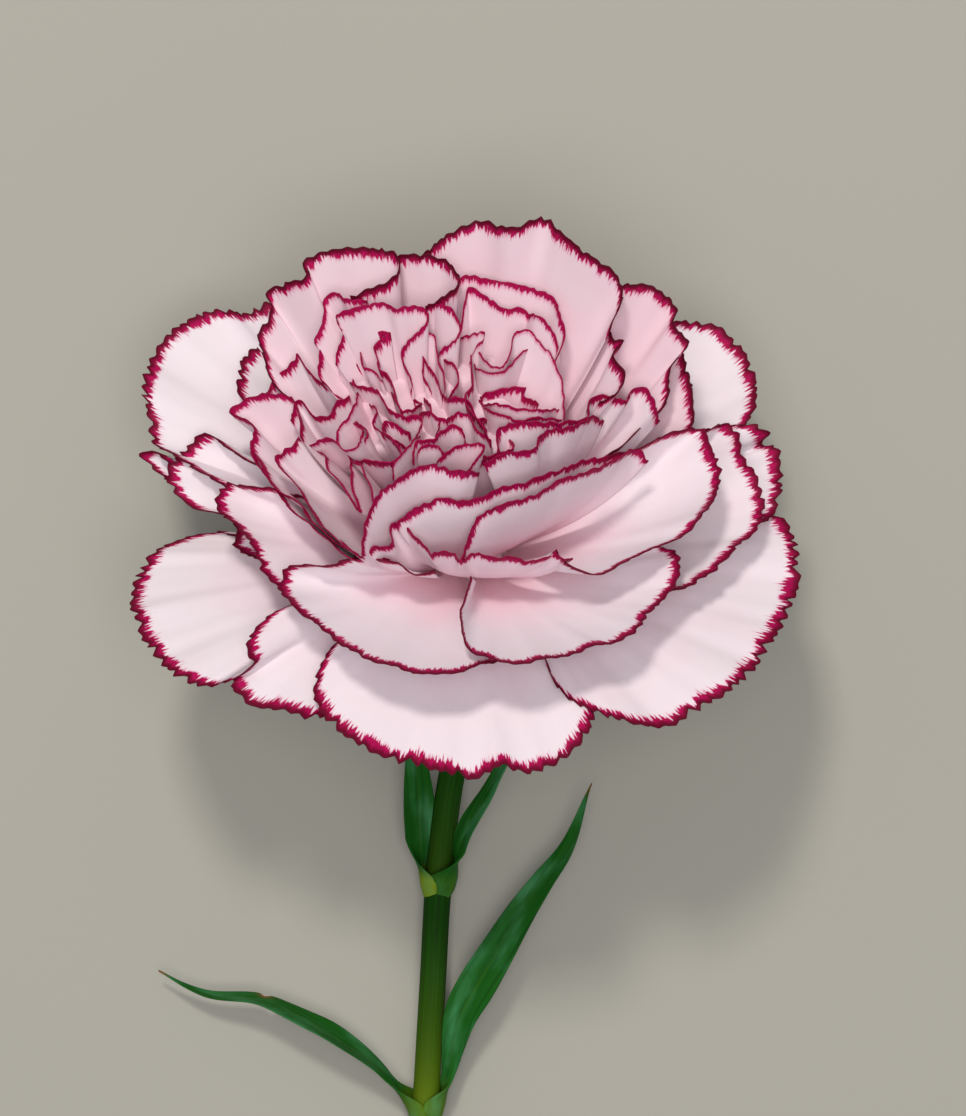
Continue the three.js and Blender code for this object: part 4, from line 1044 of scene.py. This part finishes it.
# %% Leaves
LEAVES = {
    "leaf_upper_left": dict(
        joint=UPPER_JOINT, width=2.7, foot=0.6, root=(1, 0, 0.1), tip=(0.35, -0.2, 0.9), young=0.9,
        route=[[419, 856, 4.4], [418, 825, 5], [417, 790, 5.8], [412, 745, 8.4], [398, 700, 13]]),
    "leaf_upper_right": dict(
        joint=UPPER_JOINT, width=2.2, foot=0.8, root=(-0.8, 0, -0.6), tip=(-0.85, 0.1, 0.5), young=0.1,
        route=[[459, 850, 7.4], [476, 812, 10.2], [493, 783, 12], [506, 761, 13.4], [525, 722, 16]]),
    "leaf_lower_left": dict(
        joint=LOWER_JOINT, width=2.9, foot=0.3, root=(1, 0.3, 0), tip=(0.3, 0.85, 0.4), young=0.4, torn=14.8,
        route=[[384, 1074, 4.6], [340, 1042, 5.8], [309, 1023, 6], [262, 1001, 5.4], [206, 995, 3.9],
               [158, 970, 3.4]]),
    "leaf_lower_right": dict(
        joint=LOWER_JOINT, width=3.3, foot=0.2, root=(-1, 0, -0.2), tip=(-0.35, 0.1, 0.95), young=0.35,
        route=[[452, 1050, 4.6], [461, 1015, 5.6], [477, 985, 6.3], [496, 953, 6.8], [517, 919, 7],
               [543, 880, 7], [566, 847, 6.7], [591, 783, 5.8]]),
}
CLASP_RADIUS, SHEATH_RADIUS, SHEATH_LENGTH, OPENING_LENGTH = STEM_RADIUS + 0.55, STEM_RADIUS - 0.1, 2.6, 6.0
SHEATH_ANGLE, CLASP_ANGLE, BLADE_ANGLE = 1.65, 1.5, 0.35
LEAF_THICKNESS = 0.45
LEAF_ROWS, LEAF_COLUMNS = 180, 33
TIP_POWER, BROAD_AT, POINT_HALF_WIDTH = 1.8, 0.4, 0.02
# A tear's depth is a share of the half width, and its two lengths are in mm: the cut and the brown stain.
TEAR_DEPTH, TEAR_LENGTH, STAIN_LENGTH = 0.3, 0.55, 0.8
# The two edges wave out of step. The waves and the groove are in mm high, and the rest are shares.
EDGE_WAVE, EDGE_WAVE_PACE, SIDES_APART = 0.2, (14, 18), 3
GROOVE_DEPTH, GROOVE_WIDTH = 0.06, 0.09
MARGIN_THINNING, TIP_THICKNESS, HEM_THICKNESS = 0.65, 0.35, 0.2
MIDRIB_WIDTH, MIDRIB_PALE = 0.07, 0.1
LEAF_PATTERN_STEP = 90


def leaf_sheet(joint, width, foot, root, tip, route, young, seed, torn=None):
    """A channel swept along the leaf, from a sheath round the stem's joint to a fine point.

    Its cross-section is an arc. The arc is a sheath's at the foot, a clasp's at the joint and nearly flat
    on the blade. The blade is narrow at both ends and widest in its middle. Slow waves lift its edges, and
    a torn place draws one edge in.
    """
    draw = np.random.default_rng(seed)
    root, tip = unit(np.array(root, float)), unit(np.array(tip, float))
    joint_at = lying([joint])[0]
    stem = stem_line(STEM_STEPS)
    nearest = np.linalg.norm(stem - joint_at, axis=1).argmin()
    down = unit(stem[nearest + 3] - stem[nearest - 3])
    hem = joint_at + down * SHEATH_LENGTH - root * SHEATH_RADIUS
    centres = smooth_line(np.concatenate([[hem, joint_at - root * CLASP_RADIUS], lying(route)]), LEAF_ROWS)
    length = length_of(centres)
    gone = np.linspace(0, length, LEAF_ROWS)[:, None]
    across = np.linspace(-1, 1, LEAF_COLUMNS)[None, :]
    along = np.clip((gone - SHEATH_LENGTH) / (length - SHEATH_LENGTH), 0, 1)
    opened = ramp(gone, SHEATH_LENGTH, SHEATH_LENGTH + OPENING_LENGTH)
    facing = root * (1 - opened) + tip * opened
    forward = unit(np.gradient(centres, axis=0))
    side = unit(np.cross(forward, facing))
    inward = np.cross(side, forward)
    clasped = ramp(gone, 0, 0.7 * SHEATH_LENGTH)
    radius = SHEATH_RADIUS + (CLASP_RADIUS - SHEATH_RADIUS) * clasped
    bend = (SHEATH_ANGLE + (CLASP_ANGLE - SHEATH_ANGLE) * clasped) * (1 - opened) + BLADE_ANGLE * opened
    blade = width * (1 - along ** TIP_POWER) * (foot + (1 - foot) * ramp(along, 0, BROAD_AT))
    half = radius * bend * (1 - opened) + np.maximum(blade, POINT_HALF_WIDTH) * opened
    age = ramp(along, 0.95, 1.0) + 0 * across
    if torn:
        near = np.exp(-((length - torn - gone) / TEAR_LENGTH) ** 2)
        half = half * (1 - TEAR_DEPTH * near * (across > 0))
        age = age + np.exp(-((length - torn - gone) / STAIN_LENGTH) ** 2) * ramp(across, 0.3, 0.7)
    turn = bend * across
    wave = EDGE_WAVE * np.sin(along * draw.uniform(*EDGE_WAVE_PACE) + SIDES_APART * np.sign(across)) \
        * np.abs(across) ** 2 * opened
    groove = -GROOVE_DEPTH * np.exp(-(across / GROOVE_WIDTH) ** 2) * (1 - along)
    rise = half / bend * (1 - np.cos(turn)) + wave + groove
    grid = centres[:, None] + side[:, None] * (half / bend * np.sin(turn))[..., None] \
        + inward[:, None] * rise[..., None]
    thin = (1 - MARGIN_THINNING * np.abs(across) ** 3) \
        * (TIP_THICKNESS + (1 - TIP_THICKNESS) * ramp(1 - along, 0, 0.3)) \
        * (HEM_THICKNESS + (1 - HEM_THICKNESS) * clasped)
    thickness = LEAF_THICKNESS * thin
    grid[..., 2] = np.maximum(grid[..., 2], thickness / 2)
    points, faces = closed_sheet(grid, thickness)
    pale = young * (1 - ramp(along, 0.0, 0.1)) \
        + MIDRIB_PALE * np.exp(-(across / MIDRIB_WIDTH) ** 2) * (1 - along)
    return points, faces, {
        "uv_mm": np.stack([twice(gone + LEAF_PATTERN_STEP * seed, grid), twice(across * half, grid)], -1),
        "age": twice(np.clip(age, 0, 1), grid), "pale": twice(np.clip(pale, 0, 1), grid)}


for seed, (name, leaf) in enumerate(LEAVES.items(), 1):
    add_piece(name.replace("leaf", "blade"), [leaf_sheet(seed=seed, **leaf)], name, leaf_skin)

# %% [markdown]
# ## Table
# The flower lies on a plain pale board. It is matt, with a mottle too faint to draw the eye, so that shadows
# read clearly on it. A slab with edges would do as well, but only its top would ever show.

# %% Table
floor_mesh = bpy.data.meshes.new("table")
TABLE_HALF = 3.0
floor_mesh.from_pydata([(-TABLE_HALF, -TABLE_HALF, 0), (TABLE_HALF, -TABLE_HALF, 0),
                        (TABLE_HALF, TABLE_HALF, 0), (-TABLE_HALF, TABLE_HALF, 0)], [], [(0, 1, 2, 3)])
floor = bpy.data.objects.new("table", floor_mesh)
bpy.context.scene.collection.objects.link(floor)
BOARD_GREY, BOARD_PALE = "#a8a69b", "#aeaca0"
table_top = new_material("matt painted board")
place = node(table_top, "ShaderNodeTexCoord", {}, out="Object")
mottle = node(table_top, "ShaderNodeTexNoise", {"Vector": place, "Scale": 9.0, "Detail": 2.0})
paint = node(table_top, "ShaderNodeMix", {SHARE: mottle, FIRST: BOARD_GREY, SECOND: BOARD_PALE}, MIXED,
             data_type="RGBA")
board = node(table_top, "ShaderNodeBsdfPrincipled", {"Base Color": paint, "Roughness": 0.8})
node(table_top, "ShaderNodeOutputMaterial", {"Surface": board})
floor_mesh.materials.append(table_top)

print("table:", table_top.name)

# %% [markdown]
# ## Light
# A small lamp stands high behind the bloom, so that each petal throws a shadow on the one in front of it and
# the layers part. A broad lamp overhead and a pale sky fill those shadows. A picture of a room could light
# it as well, but two lamps stay plain and can be changed by their numbers.

# %% Light
LIT_PLACE = np.array([0, 30, 15])
SKY_STRENGTH = 0.4


def soft_lamp(name, place_mm, size, watts, colour):
    """A square lamp, size metres wide, that faces the bloom."""
    light = bpy.data.lights.new(name, "AREA")
    light.size, light.energy, light.color = size, watts, linear(colour)[:3]
    lamp = bpy.data.objects.new(name, light)
    lamp.location = np.array(place_mm) * METRES
    towards = LIT_PLACE - np.array(place_mm)
    lamp.rotation_mode = "QUATERNION"
    lamp.rotation_quaternion = Vector(towards).to_track_quat("-Z", "Y")
    bpy.context.scene.collection.objects.link(lamp)


soft_lamp("window behind", (-112, 450, 740), 0.12, 3.0, "#fffaf4")
soft_lamp("fill overhead", (20, -70, 900), 0.45, 3.2, "#fffafa")
world = bpy.data.worlds.new("studio")
world.use_nodes = True
world.node_tree.nodes["Background"].inputs[0].default_value = linear("#e8ecf2")
world.node_tree.nodes["Background"].inputs[1].default_value = SKY_STRENGTH
bpy.context.scene.world = world
bpy.context.scene.view_settings.view_transform = "Standard"

print("lamps:", [light.name for light in bpy.data.lights])

# %% [markdown]
# ## Camera
# The camera looks straight down from half a metre above the calyx's mouth, as the readings were made. Its
# lens follows from that distance and from the millimetres that the image's height covers.

# %% Camera
IMAGE_COLUMNS, IMAGE_ROWS = 966, 1116
SENSOR_MM = 36.0
camera_data = bpy.data.cameras.new("camera")
camera_data.sensor_width = SENSOR_MM
camera_data.lens = SENSOR_MM * VIEW_DISTANCE / (IMAGE_ROWS * MM_PER_PIXEL)
camera = bpy.data.objects.new("camera", camera_data)
camera.location = METRES * (BLOOM_CENTRE + [(IMAGE_COLUMNS / 2 - MOUTH_COLUMN) * MM_PER_PIXEL,
                                            (MOUTH_ROW - IMAGE_ROWS / 2) * MM_PER_PIXEL, VIEW_DISTANCE])
bpy.context.scene.collection.objects.link(camera)
bpy.context.scene.camera = camera
print("lens", round(camera_data.lens, 1), "mm, camera at", [round(v, 4) for v in camera.location])
